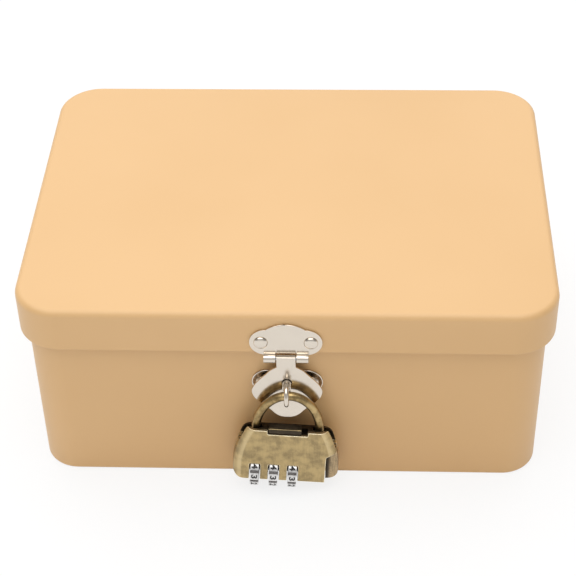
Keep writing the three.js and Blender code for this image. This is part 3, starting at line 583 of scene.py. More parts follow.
class Bench:
    """Makes meshes in millimetres and hands finished pieces to the frame."""

    @staticmethod
    def put(name: str, data: bpy.types.ID) -> bpy.types.Object:
        """Put data in the scene as an object.

        Args:
            name: The object's name.
            data: Its mesh, curve, lens or lamp.

        Returns:
            The object.
        """
        made = bpy.data.objects.new(name, data)
        bpy.context.scene.collection.objects.link(made)
        return made

    @staticmethod
    @contextmanager
    def edited(made: bpy.types.Mesh) -> Iterator[bmesh.types.BMesh]:
        """Open a mesh for editing, and write the work back at the end.

        Args:
            made: The mesh.

        Yields:
            The mesh in its editable form.
        """
        work = bmesh.new()
        work.from_mesh(made)
        yield work
        work.to_mesh(made)
        work.free()

    @staticmethod
    def outwards(made: bpy.types.Mesh, close: float) -> None:
        """Merge corners closer than a distance and turn the faces outwards."""
        with Bench.edited(made) as work:
            bmesh.ops.remove_doubles(work, verts=work.verts, dist=close)
            bmesh.ops.recalc_face_normals(work, faces=work.faces)

    @staticmethod
    def quarter(made: bpy.types.Mesh, axis: str, place: Sequence[float]) -> None:
        """Turn a mesh a quarter about an axis and carry it to a place."""
        made.transform(Matrix.Translation(place) @ Matrix.Rotation(math.pi / 2, 4, axis))

    @staticmethod
    def mesh(name: str, points: Iterable[Sequence[float]], faces: Iterable[Sequence[int]]) -> bpy.types.Mesh:
        """Make a mesh whose faces are turned outwards.

        Args:
            name: The mesh's name.
            points: Its corners.
            faces: The corner numbers of each face.

        Returns:
            The mesh.
        """
        made = bpy.data.meshes.new(name)
        made.from_pydata([tuple(point) for point in points], [], [tuple(face) for face in faces])
        Bench.outwards(made, 1e-5)
        return made

    @staticmethod
    def loft(name: str, loops: Sequence[Sequence[Sequence[float]]], endless: bool = False) -> bpy.types.Mesh:
        """Skin a row of closed loops.

        Args:
            name: The mesh's name.
            loops: Loops with the same number of points.
            endless: Whether the last loop joins the first, instead of flat caps at both ends.

        Returns:
            The mesh.
        """
        count = len(loops[0])
        faces: list[Sequence[int]] = []
        for row in range(len(loops) if endless else len(loops) - 1):
            low, high = row * count, (row + 1) % len(loops) * count
            for i in range(count):
                k = (i + 1) % count
                faces.append((low + i, low + k, high + k, high + i))
        if not endless:
            faces.append(tuple(range(count)))
            faces.append(tuple(range((len(loops) - 1) * count, len(loops) * count)))
        return Bench.mesh(name, [point for loop in loops for point in loop], faces)

    @staticmethod
    def lathe(name: str, profile: Sequence[Point], sides: int) -> bpy.types.Mesh:
        """Turn a profile of radius and height about Z.

        Args:
            name: The mesh's name.
            profile: The profile. It is closed on itself unless it starts and ends on the axis.
            sides: Steps round the axis.

        Returns:
            The mesh.
        """
        solid = profile[0][0] == 0 and profile[-1][0] == 0
        rows = list(profile[1:-1]) if solid else list(profile)
        loops = [[(r * math.cos(a), r * math.sin(a), h) for a in Bench.angles(sides)] for r, h in rows]
        if not solid:
            return Bench.loft(name, loops, endless=True)
        points = [point for loop in loops for point in loop]
        points += [(0.0, 0.0, profile[0][1]), (0.0, 0.0, profile[-1][1])]
        last = (len(loops) - 1) * sides
        faces: list[Sequence[int]] = []
        for i in range(sides):
            k = (i + 1) % sides
            faces += [(len(points) - 2, i, k), (len(points) - 1, last + k, last + i)]
            for row in range(len(loops) - 1):
                low, high = row * sides, (row + 1) * sides
                faces.append((low + i, low + k, high + k, high + i))
        return Bench.mesh(name, points, faces)

    @staticmethod
    def angles(sides: int) -> list[float]:
        """The angles of a regular polygon's corners, in radians."""
        return [2 * math.pi * i / sides for i in range(sides)]

    @staticmethod
    def arc(centre: Point, radius: float, start: float, end: float, steps: int) -> list[Point]:
        """Points of an arc between two angles in degrees."""
        turns = [math.radians(start + (end - start) * i / steps) for i in range(steps + 1)]
        return [(centre[0] + radius * math.cos(t), centre[1] + radius * math.sin(t)) for t in turns]

    @staticmethod
    def bend(start: Point, knee: Point, end: Point, steps: int = 16) -> list[Point]:
        """Points of a soft corner from one place to another, drawn towards a knee between them."""
        turns = [i / steps for i in range(steps + 1)]
        return [(start[0] * (1 - t) ** 2 + 2 * knee[0] * t * (1 - t) + end[0] * t * t,
                 start[1] * (1 - t) ** 2 + 2 * knee[1] * t * (1 - t) + end[1] * t * t) for t in turns]

    @staticmethod
    def outline_prism(name: str, outlines: Sequence[Sequence[Point]], front: float, back: float,
                      edge: float = 0.0) -> bpy.types.Mesh:
        """Extrude outlines in X and Z along Y, with rounded edges.

        Args:
            name: The mesh's name.
            outlines: The outer outline and then the holes, as X and Z.
            front: The front plane's Y.
            back: The back plane's Y.
            edge: The edges' radius.

        Returns:
            The mesh.
        """
        curve = bpy.data.curves.new(name, "CURVE")
        curve.dimensions = "2D"
        curve.fill_mode = "BOTH"
        curve.extrude = (back - front) / 2 - edge
        curve.bevel_depth = edge
        curve.bevel_resolution = 2
        curve.offset = -edge
        for outline in outlines:
            spline = curve.splines.new("POLY")
            spline.points.add(len(outline) - 1)
            for spot, (x, z) in zip(spline.points, outline):
                spot.co = (x, z, 0.0, 1.0)
            spline.use_cyclic_u = True
        made = Bench.evaluate(Bench.put(name, curve))
        Bench.quarter(made, "X", (0, (front + back) / 2, 0))
        Bench.outwards(made, 1e-4)
        return made

    @staticmethod
    def box(x: Point, y: Point, z: Point) -> bpy.types.Mesh:
        """A plain block for cutting, between two values on each axis."""
        loops = [[(x[0], y[0], h), (x[1], y[0], h), (x[1], y[1], h), (x[0], y[1], h)] for h in z]
        return Bench.loft("cutter", loops)

    @staticmethod
    def rod(axis: str, radius: float, ends: Point, centre: Point, sides: int = 48) -> bpy.types.Mesh:
        """A round rod along one axis.

        Args:
            axis: X, Y or Z.
            radius: The rod's radius.
            ends: Where it starts and ends along the axis.
            centre: Its place on the two other axes, in the order X, Y, Z.
            sides: Steps round it.

        Returns:
            The mesh.
        """
        ring = [(radius * math.cos(a), radius * math.sin(a)) for a in Bench.angles(sides)]
        spots: dict[str, Callable[[float, float, float], tuple[float, float, float]]] = {
            "X": lambda a, b, t: (t, centre[0] + a, centre[1] + b),
            "Y": lambda a, b, t: (centre[0] + a, t, centre[1] + b),
            "Z": lambda a, b, t: (centre[0] + a, centre[1] + b, t),
        }
        return Bench.loft("rod", [[spots[axis](a, b, t) for a, b in ring] for t in ends])

    @staticmethod
    def evaluate(holder: bpy.types.Object) -> bpy.types.Mesh:
        """Take an object's finished mesh and remove the object.

        Args:
            holder: A temporary object in the scene.

        Returns:
            Its evaluated mesh.
        """
        graph = bpy.context.evaluated_depsgraph_get()
        made = bpy.data.meshes.new_from_object(holder.evaluated_get(graph))
        bpy.data.objects.remove(holder)
        return made

    @staticmethod
    def combine(made: bpy.types.Mesh, others: Sequence[bpy.types.Mesh], operation: str) -> bpy.types.Mesh:
        """Cut, join or intersect solids.

        Args:
            made: The mesh to work on.
            others: The other solids.
            operation: DIFFERENCE, UNION or INTERSECT.

        Returns:
            The combined mesh.
        """
        target = Bench.put("holder", made)
        tools = [Bench.put("holder", other) for other in others]
        for tool in tools:
            step = target.modifiers.new("combine", "BOOLEAN")
            step.operation = operation
            step.solver = "EXACT"
            step.object = tool
        bpy.context.view_layer.update()
        result = Bench.evaluate(target)
        for tool in tools:
            bpy.data.objects.remove(tool)
        return Bench.tidied(result)

    @staticmethod
    def tidied(made: bpy.types.Mesh) -> bpy.types.Mesh:
        """Merge close corners and dissolve flat edges, which a bevel can't pass.

        Args:
            made: The mesh.

        Returns:
            The same mesh, cleaned.
        """
        with Bench.edited(made) as work:
            bmesh.ops.remove_doubles(work, verts=work.verts, dist=CLOSE)
            bmesh.ops.dissolve_degenerate(work, edges=work.edges, dist=CLOSE)
            bmesh.ops.dissolve_limit(work, angle_limit=math.radians(FLAT), verts=work.verts, edges=work.edges,
                                     delimit={"MATERIAL"})
        return made

    @staticmethod
    def soften(made: bpy.types.Mesh, width: float, segments: int = 2, angle: float = 35.0,
               material: int = -1, clamp: bool = False) -> bpy.types.Mesh:
        """Round a mesh's sharp edges.

        Args:
            made: The mesh.
            width: The rounding's width.
            segments: Its steps.
            angle: The angle in degrees above which an edge is sharp.
            material: The material slot that the rounded edges take.
            clamp: Whether the rounding stops where it would overlap itself.

        Returns:
            The softened mesh.
        """
        while len(made.materials) <= material:
            made.materials.append(None)
        target = Bench.put("holder", made)
        step = target.modifiers.new("soften", "BEVEL")
        step.width = width
        step.segments = segments
        step.limit_method = "ANGLE"
        step.angle_limit = math.radians(angle)
        step.material = material
        step.miter_outer = "MITER_ARC"
        step.use_clamp_overlap = clamp
        return Bench.evaluate(target)

    @staticmethod
    def flattened(made: bpy.types.Mesh) -> bpy.types.Mesh:
        """Weigh a mesh's normals by face area, so that flat faces look flat beside rounded edges.

        Args:
            made: The mesh, with its sharp edges marked.

        Returns:
            The mesh with its own normals.
        """
        target = Bench.put("holder", made)
        step = target.modifiers.new("flatten", "WEIGHTED_NORMAL")
        step.keep_sharp = True
        step.weight = FACE_WEIGHT
        return Bench.evaluate(target)

    @staticmethod
    def cad_copy(node: str) -> bpy.types.Mesh:
        """A merged copy of a CAD node's mesh, in millimetres, with its flat faces in one piece.

        Args:
            node: The node's name.

        Returns:
            The copy.
        """
        made = bpy.data.objects[node].data.copy()
        made.materials.clear()
        made.transform(Matrix.Scale(1 / MM, 4))
        with Bench.edited(made) as work:
            bmesh.ops.remove_doubles(work, verts=work.verts, dist=1e-3)
            bmesh.ops.dissolve_limit(work, angle_limit=math.radians(1.0), verts=work.verts, edges=work.edges)
        return made

    @staticmethod
    def merge(name: str, parts: Sequence[bpy.types.Mesh]) -> bpy.types.Mesh:
        """Put meshes together as one, keeping each face's material number.

        Args:
            name: The mesh's name.
            parts: The meshes.

        Returns:
            One mesh.
        """
        work = bmesh.new()
        for part in parts:
            work.from_mesh(part)
        made = bpy.data.meshes.new(name)
        work.to_mesh(made)
        work.free()
        return made

    @staticmethod
    def finish(name: str, made: bpy.types.Mesh, body: str, materials: Sequence[bpy.types.Material], slot: str,
               nodes: Sequence[str] = (), place: Matrix | None = None, angle: float = 32.0) -> bpy.types.Object:
        """Turn a mesh into a finished piece that rides on a body.

        Args:
            name: The piece's name.
            made: Its mesh, in millimetres.
            body: The body that it rides on.
            materials: Its materials, in the order of its faces' material numbers.
            slot: The record's material slot; not used.
            nodes: The CAD nodes that it stands for.
            place: Where its own frame lies in the row frame, in millimetres.
            angle: Edges below this angle in degrees are shaded smooth.

        Returns:
            The piece.
        """
        made.transform(Matrix.Scale(MM, 4) @ (place or Matrix.Identity(4)))
        made.name = name
        numbers = [polygon.material_index for polygon in made.polygons]
        made.materials.clear()
        for material in materials:
            made.materials.append(material)
        made.polygons.foreach_set("material_index", [min(n, len(materials) - 1) for n in numbers])
        made.polygons.foreach_set("use_smooth", [True] * len(made.polygons))
        made.set_sharp_from_angle(angle=math.radians(angle))
        made = Bench.flattened(made)
        made.name = name
        directions = [part for corner in made.corner_normals for part in corner.vector]
        made.attributes.new("rest_normal", "FLOAT_VECTOR", "CORNER").data.foreach_set("vector", directions)
        piece = Bench.put(name, made)
        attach(piece, body)
        if nodes:
            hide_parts(*nodes)
        LOG.info("%s: %d faces on %s", name, len(made.polygons), body)
        return piece


class Recipe(Graph):
    """A Geometry Nodes tree with named inputs, used once on a temporary object."""

    def __init__(self, name: str) -> None:
        """Start a tree.

        Args:
            name: The tree's name.
        """
        super().__init__(bpy.data.node_groups.new(name, "GeometryNodeTree"))
        self.tree.interface.new_socket("Geometry", in_out="INPUT", socket_type="NodeSocketGeometry")
        self.tree.interface.new_socket("Geometry", in_out="OUTPUT", socket_type="NodeSocketGeometry")
        self.start = self.tree.nodes.new("NodeGroupInput")
        self.end = self.tree.nodes.new("NodeGroupOutput")
        self.settings: dict[str, object] = {}

    def size(self, name: str, amount: float) -> Value:
        """Add a named number."""
        return self._input(name, "NodeSocketFloat", float(amount))

    def count(self, name: str, amount: int) -> Value:
        """Add a named whole number."""
        return self._input(name, "NodeSocketInt", int(amount))

    def pattern(self, name: str, item: bpy.types.Object) -> Value:
        """Add a named object and take its geometry."""
        source = self._input(name, "NodeSocketObject", item)
        return self.node("GeometryNodeObjectInfo", {"transform_space": "ORIGINAL"}, {"Object": source}, "Geometry")

    def circle(self, steps_name: str, steps: int, radius_name: str, radius: float) -> Value:
        """Add a circle whose steps and radius are named inputs.

        Args:
            steps_name: The name of the steps' input.
            steps: Steps round it.
            radius_name: The name of the radius's input.
            radius: Its radius.

        Returns:
            The circle as a curve.
        """
        inputs = {"Resolution": self.count(steps_name, steps), "Radius": self.size(radius_name, radius)}
        return self.node("GeometryNodeCurvePrimitiveCircle", {}, inputs)

    def close(self, geometry: Value, material: bpy.types.Material) -> None:
        """End the tree with real geometry in one material.

        Args:
            geometry: What the tree has made.
            material: Its material.
        """
        real = self.node("GeometryNodeRealizeInstances", {}, {"Geometry": geometry})
        done = self.node("GeometryNodeSetMaterial", {}, {"Geometry": real, "Material": material})
        self.feed(self.end.inputs[0], done)

    def run(self, start: bpy.types.Mesh | None = None) -> bpy.types.Mesh:
        """Run the tree.

        Args:
            start: The mesh that the tree starts from, if it uses one.

        Returns:
            The mesh that it makes.
        """
        holder = Bench.put("holder", start or bpy.data.meshes.new("start"))
        step = holder.modifiers.new("recipe", "NODES")
        step.node_group = self.tree
        for identifier, item in self.settings.items():
            step[identifier] = item
        made = Bench.evaluate(holder)
        made.polygons.foreach_set("material_index", [0] * len(made.polygons))
        return made

    def _input(self, name: str, kind: str, item: object) -> Value:
        """Add a named input.

        Args:
            name: The input's name.
            kind: The type of its socket.
            item: What it is set to.

        Returns:
            The input as a value.
        """
        made = self.tree.interface.new_socket(name, in_out="INPUT", socket_type=kind)
        self.settings[made.identifier] = item
        return Value(self, next(socket for socket in self.start.outputs if socket.identifier == made.identifier))


class Facing(Enum):
    """Which way a rivet's head looks."""

    FRONT = -1
    BACK = 1


@dataclass
class Rivets:
    """Domed rivets at a row of places, made by one tree."""

    head: float = 2.5
    height: float = 1.2
    shank: float = 1.2
    tail: float = 1.9
    tail_height: float = 0.7
    grip: float = 1.3
    rim: float = 0.12
    undercut: float = 0.1
    dome_steps: int = 12
    dome_power: float = 0.8
    sides: int = 40

    def template(self) -> bpy.types.Mesh:
        """One rivet with its seat at zero and its head upwards.

        Returns:
            The mesh.
        """
        turns = [math.pi / 2 * i / self.dome_steps for i in range(self.dome_steps)]
        dome = [(self.head * math.sin(t), self.height * math.cos(t) ** self.dome_power) for t in turns]
        foot = -self.grip
        profile = [*dome, (self.head, self.rim), (self.head - self.undercut, 0.0),
                   (self.shank, 0.0), (self.shank, foot), (self.tail, foot),
                   (self.tail * 0.94, foot - self.tail_height * 0.5),
                   (self.tail * 0.7, foot - self.tail_height), (0.0, foot - self.tail_height)]
        return Bench.lathe("rivet", profile, self.sides)

    def make(self, places: Sequence[Sequence[float]], facing: Facing, material: bpy.types.Material) -> bpy.types.Mesh:
        """Set a rivet at each place.

        Args:
            places: The seats, on the face under each head.
            facing: Which way the heads look.
            material: Their material.

        Returns:
            One mesh of all rivets.
        """
        pattern = Bench.put("holder", self.template())
        recipe = Recipe("rivets")
        one = recipe.pattern("Rivet", pattern)
        turn = (math.pi / 2, 0.0, 0.0) if facing is Facing.FRONT else (-math.pi / 2, 0.0, 0.0)
        spots = recipe.node("GeometryNodeMeshToPoints", {}, {"Mesh": Value(recipe, recipe.start.outputs[0])})
        scale = recipe.size("Scale", 1.0)
        inputs = {"Points": spots, "Instance": one, "Rotation": turn, "Scale": scale}
        recipe.close(recipe.node("GeometryNodeInstanceOnPoints", {}, inputs), material)
        start = bpy.data.meshes.new("places")
        start.from_pydata([tuple(place) for place in places], [], [])
        made = recipe.run(start)
        bpy.data.objects.remove(pattern)
        return made


# Sub-assemblies


class CaseLook(IntEnum):
    """The material numbers of the padlock's case, in the order of its materials."""

    BRASS = 0
    RUBBED = 1
    # Dark brass painted as shade in the slots and on the hidden rims.
    DARK = 2
    # A lighter painted shade on the notch's floor.
    SHADED = 3


@dataclass
class Tin:
    """The lacquered tin: body, floor and slip lid."""

    finishes: Finishes
    width: float = 190.0
    depth: float = 140.0
    height: float = 80.0
    corner: float = 16.0
    overhang: float = 3.0
    skirt: float = 17.2
    edge: float = 2.4
    sheet: float = 0.5
    hem: float = 1.3
    hem_height: float = 1.8
    hem_ease: Point = (0.15, 0.1)
    hem_rise: float = 0.5
    seat_gap: float = 0.4
    bead: float = 1.0
    foot: float = 1.9
    foot_round: float = 0.6
    gap: float = 0.3
    flange: float = 4.0
    floor_edge: float = 0.12
    steps: int = 18

    def loop(self, inset: float, height: float, inward: float = 0.0) -> list[tuple[float, float, float]]:
        """A rounded rectangle drawn in from the lid's or the body's outside.

        Args:
            inset: How far it lies inside.
            height: Its height.
            inward: How far the piece itself lies inside the lid's outside.

        Returns:
            The loop's points.
        """
        inset += inward
        radius = self.corner - inset
        half_x = self.width / 2 - inset - radius
        half_y = self.depth / 2 - inset - radius
        points = []
        for corner, (side_x, side_y) in enumerate([(1, 1), (-1, 1), (-1, -1), (1, -1)]):
            for step in range(self.steps + 1):
                angle = (corner + step / self.steps) * math.pi / 2
                points.append((side_x * half_x + radius * math.cos(angle),
                               side_y * half_y + radius * math.sin(angle), height))
        return points

    def lid(self) -> bpy.types.Mesh:
        """The lid with its rolled lower edge.

        Returns:
            The mesh.
        """
        foot = self.height - self.skirt
        roll = self.hem / 2
        shoulder = self.height - self.edge
        profile = [
            *Bench.arc((self.edge, shoulder), self.edge, 90, 180, 12),
            (0.0, foot + 3 * roll),
            *Bench.arc((roll, foot + roll), roll, 180, 360, 12),
            (self.hem, foot + self.hem_height),
            (self.sheet + self.hem_ease[0], foot + self.hem_height + self.hem_ease[1]),
            (self.sheet, foot + self.hem_height + self.hem_rise),
            *Bench.arc((self.edge, shoulder), self.edge - self.sheet, 180, 90, 8),
        ]
        return Bench.loft("lid", [self.loop(inset, z) for inset, z in profile])

    def wall(self) -> bpy.types.Mesh:
        """The body's wall with its curled rim and turned-in foot.

        Returns:
            The mesh.
        """
        rim = self.height - self.sheet - self.seat_gap - self.bead
        profile = [
            *Bench.arc((self.foot_round, self.foot_round), self.foot_round, 270, 180, 6),
            *Bench.arc((self.bead, rim), self.bead, 180, -90, 18),
            (self.sheet, rim - self.bead - self.sheet),
            (self.sheet, self.sheet),
            (self.foot, self.sheet),
            (self.foot, 0.0),
        ]
        return Bench.loft("wall", [self.loop(inset, z, self.overhang) for inset, z in profile], endless=True)

    def floor(self) -> bpy.types.Mesh:
        """The floor pan that the wall's foot holds.

        Returns:
            The mesh.
        """
        step = self.sheet + self.gap
        panel = self.foot + self.gap
        profile = [
            (panel, 0.0), (panel, step), (step, step), (step, self.flange), (step + self.sheet, self.flange),
            (step + self.sheet, step + self.sheet), (panel + self.sheet, step + self.sheet),
            (panel + self.sheet, self.sheet),
        ]
        return Bench.loft("floor", [self.loop(inset, z, self.overhang) for inset, z in profile])

    def build(self) -> None:
        """Make the lid, the wall and the floor."""
        lacquer = [self.finishes.lacquer]
        Bench.finish("tin_lid", self.lid(), "lid", lacquer, "apricot_paint", ["lid_shell"])
        Bench.finish("tin_wall", self.wall(), "box", lacquer, "apricot_paint", ["box_wall"])
        floor = Bench.soften(self.floor(), self.floor_edge)
        Bench.finish("tin_floor", floor, "box", lacquer, "apricot_paint", ["box_floor"])


@dataclass
class RearHinges:
    """Two riveted butt hinges at the back."""

    finishes: Finishes
    spread: float = 50.0
    rivet_spread: float = 6.8
    upper: float = 70.6
    lower: float = 48.6
    lid_face: float = 70.8
    body_face: float = 67.8
    edge: float = 0.14
    pin_edge: float = 0.12

    def build(self) -> None:
        """Dress the leaves and pins and set the rivets."""
        nickel = [self.finishes.nickel]
        for side in ("left", "right"):
            for part, body in (("lid_leaf", "lid"), ("body_leaf", "box")):
                node = f"rear_hinge_{side}_{part}"
                made = Bench.soften(Bench.cad_copy(node), self.edge)
                Bench.finish(f"hinge_{side}_{part}", made, body, nickel, "bright_nickel", [node])
            pin = Bench.soften(Bench.cad_copy(f"rear_hinge_{side}_pin"), self.pin_edge)
            Bench.finish(f"hinge_{side}_pin", pin, "box", [self.finishes.steel], "plain_steel",
                         [f"rear_hinge_{side}_pin"])
        for name, body, face, height in (("lid", "lid", self.lid_face, self.upper),
                                         ("body", "box", self.body_face, self.lower)):
            places = [(x + side * self.rivet_spread, face, height)
                      for x in (-self.spread, self.spread) for side in (-1, 1)]
            made = Rivets().make(places, Facing.BACK, self.finishes.nickel)
            Bench.finish(f"{name}_hinge_rivets", made, body, nickel, "bright_nickel",
                         [f"{name}_hinge_rivet_{i}" for i in range(1, 5)])


@dataclass
class Hasp:
    """The nickel hasp: lid plate, leaf, staple plate and ring."""

    finishes: Finishes
    middle: float = 0.5
    width: float = 25.4
    lobe: float = 5.7
    bump: float = 2.5
    bump_width: float = 14.0
    plate: float = 0.8
    lid_face: float = -70.0
    body_face: float = -67.0
    axis_y: float = -71.6
    axis_z: float = 61.6
    barrel: float = 1.6
    bore: float = 1.0
    pin: float = 0.7
    outer: float = 7.85
    inner: float = 3.35
    gap: float = 0.3
    lobe_z: float = 68.2
    staple_z: float = 46.5
    rivet_spread: float = 8.7
    neck_z: float = 56.5
    foot_z: float = 33.3
    leaf_width: float = 25.0
    roll: float = 1.4
    roll_corner: float = 0.5
    tab_z: float = 58.7
    crease_z: float = 57.3
    slot_foot: float = 41.3
    lip_z: float = 40.8
    lip_radius: float = 23.0
    post_z: float = 49.1
    post_front: float = -73.9
    fork: float = 1.0
    fork_depth: float = 2.0
    eye_y: float = -74.0
    eye_z: float = 46.4
    eye_radius: float = 3.6
    eye_wire: float = 0.85
    post: float = 1.55
    post_chamfer: float = 0.12
    post_head: float = 2.4
    post_head_height: float = 0.7
    arm_overlap: float = 2.0
    tin: float = 0.5
    washer: float = 3.1
    washer_thick: float = 0.6
    neck_rise: float = 0.8
    edge: float = 0.16
    small_edge: float = 0.12
    fork_edge: float = 0.08
    washer_edge: float = 0.1
    leaf_steps: int = 6
    ring_steps: int = 96
    wire_sides: int = 24
    round_sides: int = 40
    leaf_shares: Sequence[Point] = ((0.268, 0), (0.456, 0.069), (0.592, 0.156), (0.784, 0.272), (0.904, 0.362),
                                    (1, 0.478), (0.968, 0.594), (0.864, 0.689), (0.696, 0.772), (0.476, 0.877),
                                    (0.36, 0.9375), (0.208, 0.984), (0, 1))

    def lobed(self, centre: float, side: int) -> list[Point]:
        """The outline of two round lobes, a strip and a bump on one side.

        Args:
            centre: The lobes' height.
            side: 1 for a bump above and -1 for one below.

        Returns:
            The outline.
        """
        lobe_x = self.width / 2 - self.lobe
        half = self.bump_width / 2
        radius = (half * half + self.bump * self.bump) / (2 * self.bump)
        top = self.lobe + self.bump
        reach = math.degrees(math.asin(half / radius))
        points = Bench.arc((0, top - radius), radius, 90 - reach, 90 + reach, 40)
        points += Bench.arc((-lobe_x, 0), self.lobe, 90, 270, 48)[1:]
        points += Bench.arc((lobe_x, 0), self.lobe, -90, 90, 48)
        return [(self.middle + x, centre + side * z) for x, z in points[:-1]]

    def round_hole(self, x: float, z: float, radius: float, steps: int = 32) -> list[Point]:
        """A circle as an outline."""
        return [(x + radius * math.cos(a), z + radius * math.sin(a)) for a in Bench.angles(steps)]

    def leaf_outline(self) -> list[Point]:
        """The leaf's outline, smoothed through its listed points.

        Returns:
            The outline.
        """
        half = self.leaf_width / 2
        length = self.neck_z - self.foot_z
        left = [(-half * a, self.neck_z - length * b) for a, b in self.leaf_shares]
        right = [(-x, z) for x, z in reversed(left[:-1])]
        row = [Vector(point) for point in left + right]
        smooth: list[Point] = []
        for i in range(len(row) - 1):
            p0, p1 = row[max(i - 1, 0)], row[i]
            p2, p3 = row[i + 1], row[min(i + 2, len(row) - 1)]
            for t in [step / self.leaf_steps for step in range(self.leaf_steps)]:
                spot = 0.5 * (2 * p1 + (p2 - p0) * t + (2 * p0 - 5 * p1 + 4 * p2 - p3) * t * t
                              + (3 * p1 - p0 - 3 * p2 + p3) * t * t * t)
                smooth.append((self.middle + spot.x, spot.y))
        smooth.append((self.middle + right[-1][0], right[-1][1]))
        neck = self.neck_z + self.neck_rise
        return [(smooth[0][0], neck), *smooth, (smooth[-1][0], neck)]

    def crosswise(self, radius: float, half: float) -> bpy.types.Mesh:
        """A round rod on the leaf's hinge axis, reaching half its length to each side."""
        return Bench.rod("X", radius, (self.middle - half, self.middle + half), (self.axis_y, self.axis_z))

    def keyhole(self) -> list[Point]:
        """The leaf's round hole with the slot below it.

        Returns:
            The outline.
        """
        half = self.eye_wire + self.gap
        hole = self.post + self.gap
        turn = math.degrees(math.asin(half / hole))
        points = Bench.arc((0, self.post_z), hole, turn - 90, 270 - turn, 40)
        points += Bench.arc((0, self.slot_foot + half), half, 180, 360, 12)
        return [(self.middle + x, z) for x, z in points]

    def lid_plate(self) -> bpy.types.Mesh:
        """The plate on the lid with its two knuckles.

        Returns:
            The mesh.
        """
        front = self.lid_face - self.plate
        face = Bench.outline_prism("face", [self.lobed(self.lobe_z, 1)], front, self.lid_face)
        inner = self.inner + self.gap
        parts = []
        for low, high in ((-self.outer, -inner), (inner, self.outer)):
            ends = (self.middle + low, self.middle + high)
            parts.append(Bench.box(ends, (front, self.lid_face), (self.axis_z, self.lobe_z - self.arm_overlap)))
            parts.append(Bench.rod("X", self.barrel, ends, (self.axis_y, self.axis_z)))
        made = Bench.combine(face, parts, "UNION")
        relief = self.axis_z + self.roll + self.gap
        cuts = [
            Bench.box((self.middle - inner, self.middle + inner), (front - REACH, self.lid_face + REACH),
                      (self.axis_z - REACH, relief)),
            self.crosswise(self.bore, self.width),
        ]
        return Bench.soften(Bench.combine(made, cuts, "DIFFERENCE"), self.edge, angle=CREASE)

    def leaf(self) -> bpy.types.Mesh:
        """The leaf, bent forwards at its foot, with its rolled knuckle.

        Returns:
            The mesh.
        """
        front = self.lid_face - self.plate
        blank = Bench.outline_prism("leaf", [self.leaf_outline(), self.keyhole()], front - REACH,
                                    self.lid_face + REACH)
        reach = math.degrees(math.asin((self.lip_z - self.foot_z + self.gap) / self.lip_radius))
        centre = (front - self.lip_radius, self.lip_z)
        side = [
            (self.lid_face, self.axis_z),
            *Bench.arc(centre, self.lip_radius + self.plate, 0, -reach, 16),
            *Bench.arc(centre, self.lip_radius, -reach, 0, 16),
            (front, self.axis_z),
        ]
        sheet = Bench.loft("sheet", [[(x, y, z) for y, z in side]
                                     for x in (self.middle - self.width, self.middle + self.width)])
        face = Bench.combine(blank, [sheet], "INTERSECT")
        tab = self.axis_y - self.roll
        corner = (tab + self.roll_corner, self.axis_z + self.roll - self.roll_corner)
        profile = [
            *Bench.arc((self.axis_y, self.axis_z), self.roll, 0, 90, 24),
            *Bench.arc(corner, self.roll_corner, 90, 180, 8),
            (tab, self.tab_z),
            (tab + self.small_edge, self.tab_z - self.small_edge),
            (front, self.crease_z),
            (front, self.neck_z),
            (self.lid_face, self.neck_z),
        ]
        loops = [[(x, y, z) for y, z in profile] for x in (self.middle - self.inner, self.middle + self.inner)]
        made = Bench.combine(face, [Bench.loft("roll", loops)], "UNION")
        bored = Bench.combine(made, [self.crosswise(self.bore, self.width)], "DIFFERENCE")
        return Bench.soften(bored, self.small_edge, angle=BENT_CREASE)

    def staple_plate(self) -> bpy.types.Mesh:
        """The plate on the body that carries the ring.

        Returns:
            The mesh.
        """
        outlines = [self.lobed(self.staple_z, -1), self.round_hole(self.middle, self.post_z, self.post + self.gap)]
        front = self.body_face - self.plate
        return Bench.outline_prism("staple_plate", outlines, front, self.body_face, 2 * self.edge)

    def ring(self, material: bpy.types.Material) -> bpy.types.Mesh:
        """The closed ring that stands out of the post.

        Args:
            material: Its material.

        Returns:
            The mesh.
        """
        recipe = Recipe("staple_ring")
        path = recipe.circle("Steps", self.ring_steps, "Ring Radius", self.eye_radius)
        wire = recipe.circle("Sides", self.wire_sides, "Wire Radius", self.eye_wire)
        recipe.close(recipe.node("GeometryNodeCurveToMesh", {}, {"Curve": path, "Profile Curve": wire}), material)
        made = recipe.run()
        Bench.quarter(made, "Y", (self.middle, self.eye_y, self.eye_z))
        return made

    def eye(self) -> bpy.types.Mesh:
        """The post, whose fork holds the ring's top, and its head inside the tin.

        Returns:
            The mesh.
        """
        nose = self.post_front
        head = self.body_face + self.tin + self.washer_thick
        wide = self.post_head
        end = -head - self.post_head_height
        profile = [(0.0, -nose), (self.post - self.post_chamfer, -nose), (self.post, -nose - self.post_chamfer),
                   (self.post, -head - 0.3), (self.post, -head), (wide, -head), (wide, -head - 0.45),
                   (wide - 0.3, end), (0.0, end)]
        post = Bench.lathe("post", profile, self.round_sides)
        Bench.quarter(post, "X", (self.middle, 0, self.post_z))
        fork = Bench.box((self.middle - self.fork, self.middle + self.fork), (nose - 1, nose + self.fork_depth),
                         (self.post_z - REACH, self.post_z + REACH))
        forked = Bench.soften(Bench.combine(post, [fork], "DIFFERENCE"), self.fork_edge, angle=CREASE)
        return Bench.merge("eye", [forked, self.ring(self.finishes.nickel)])

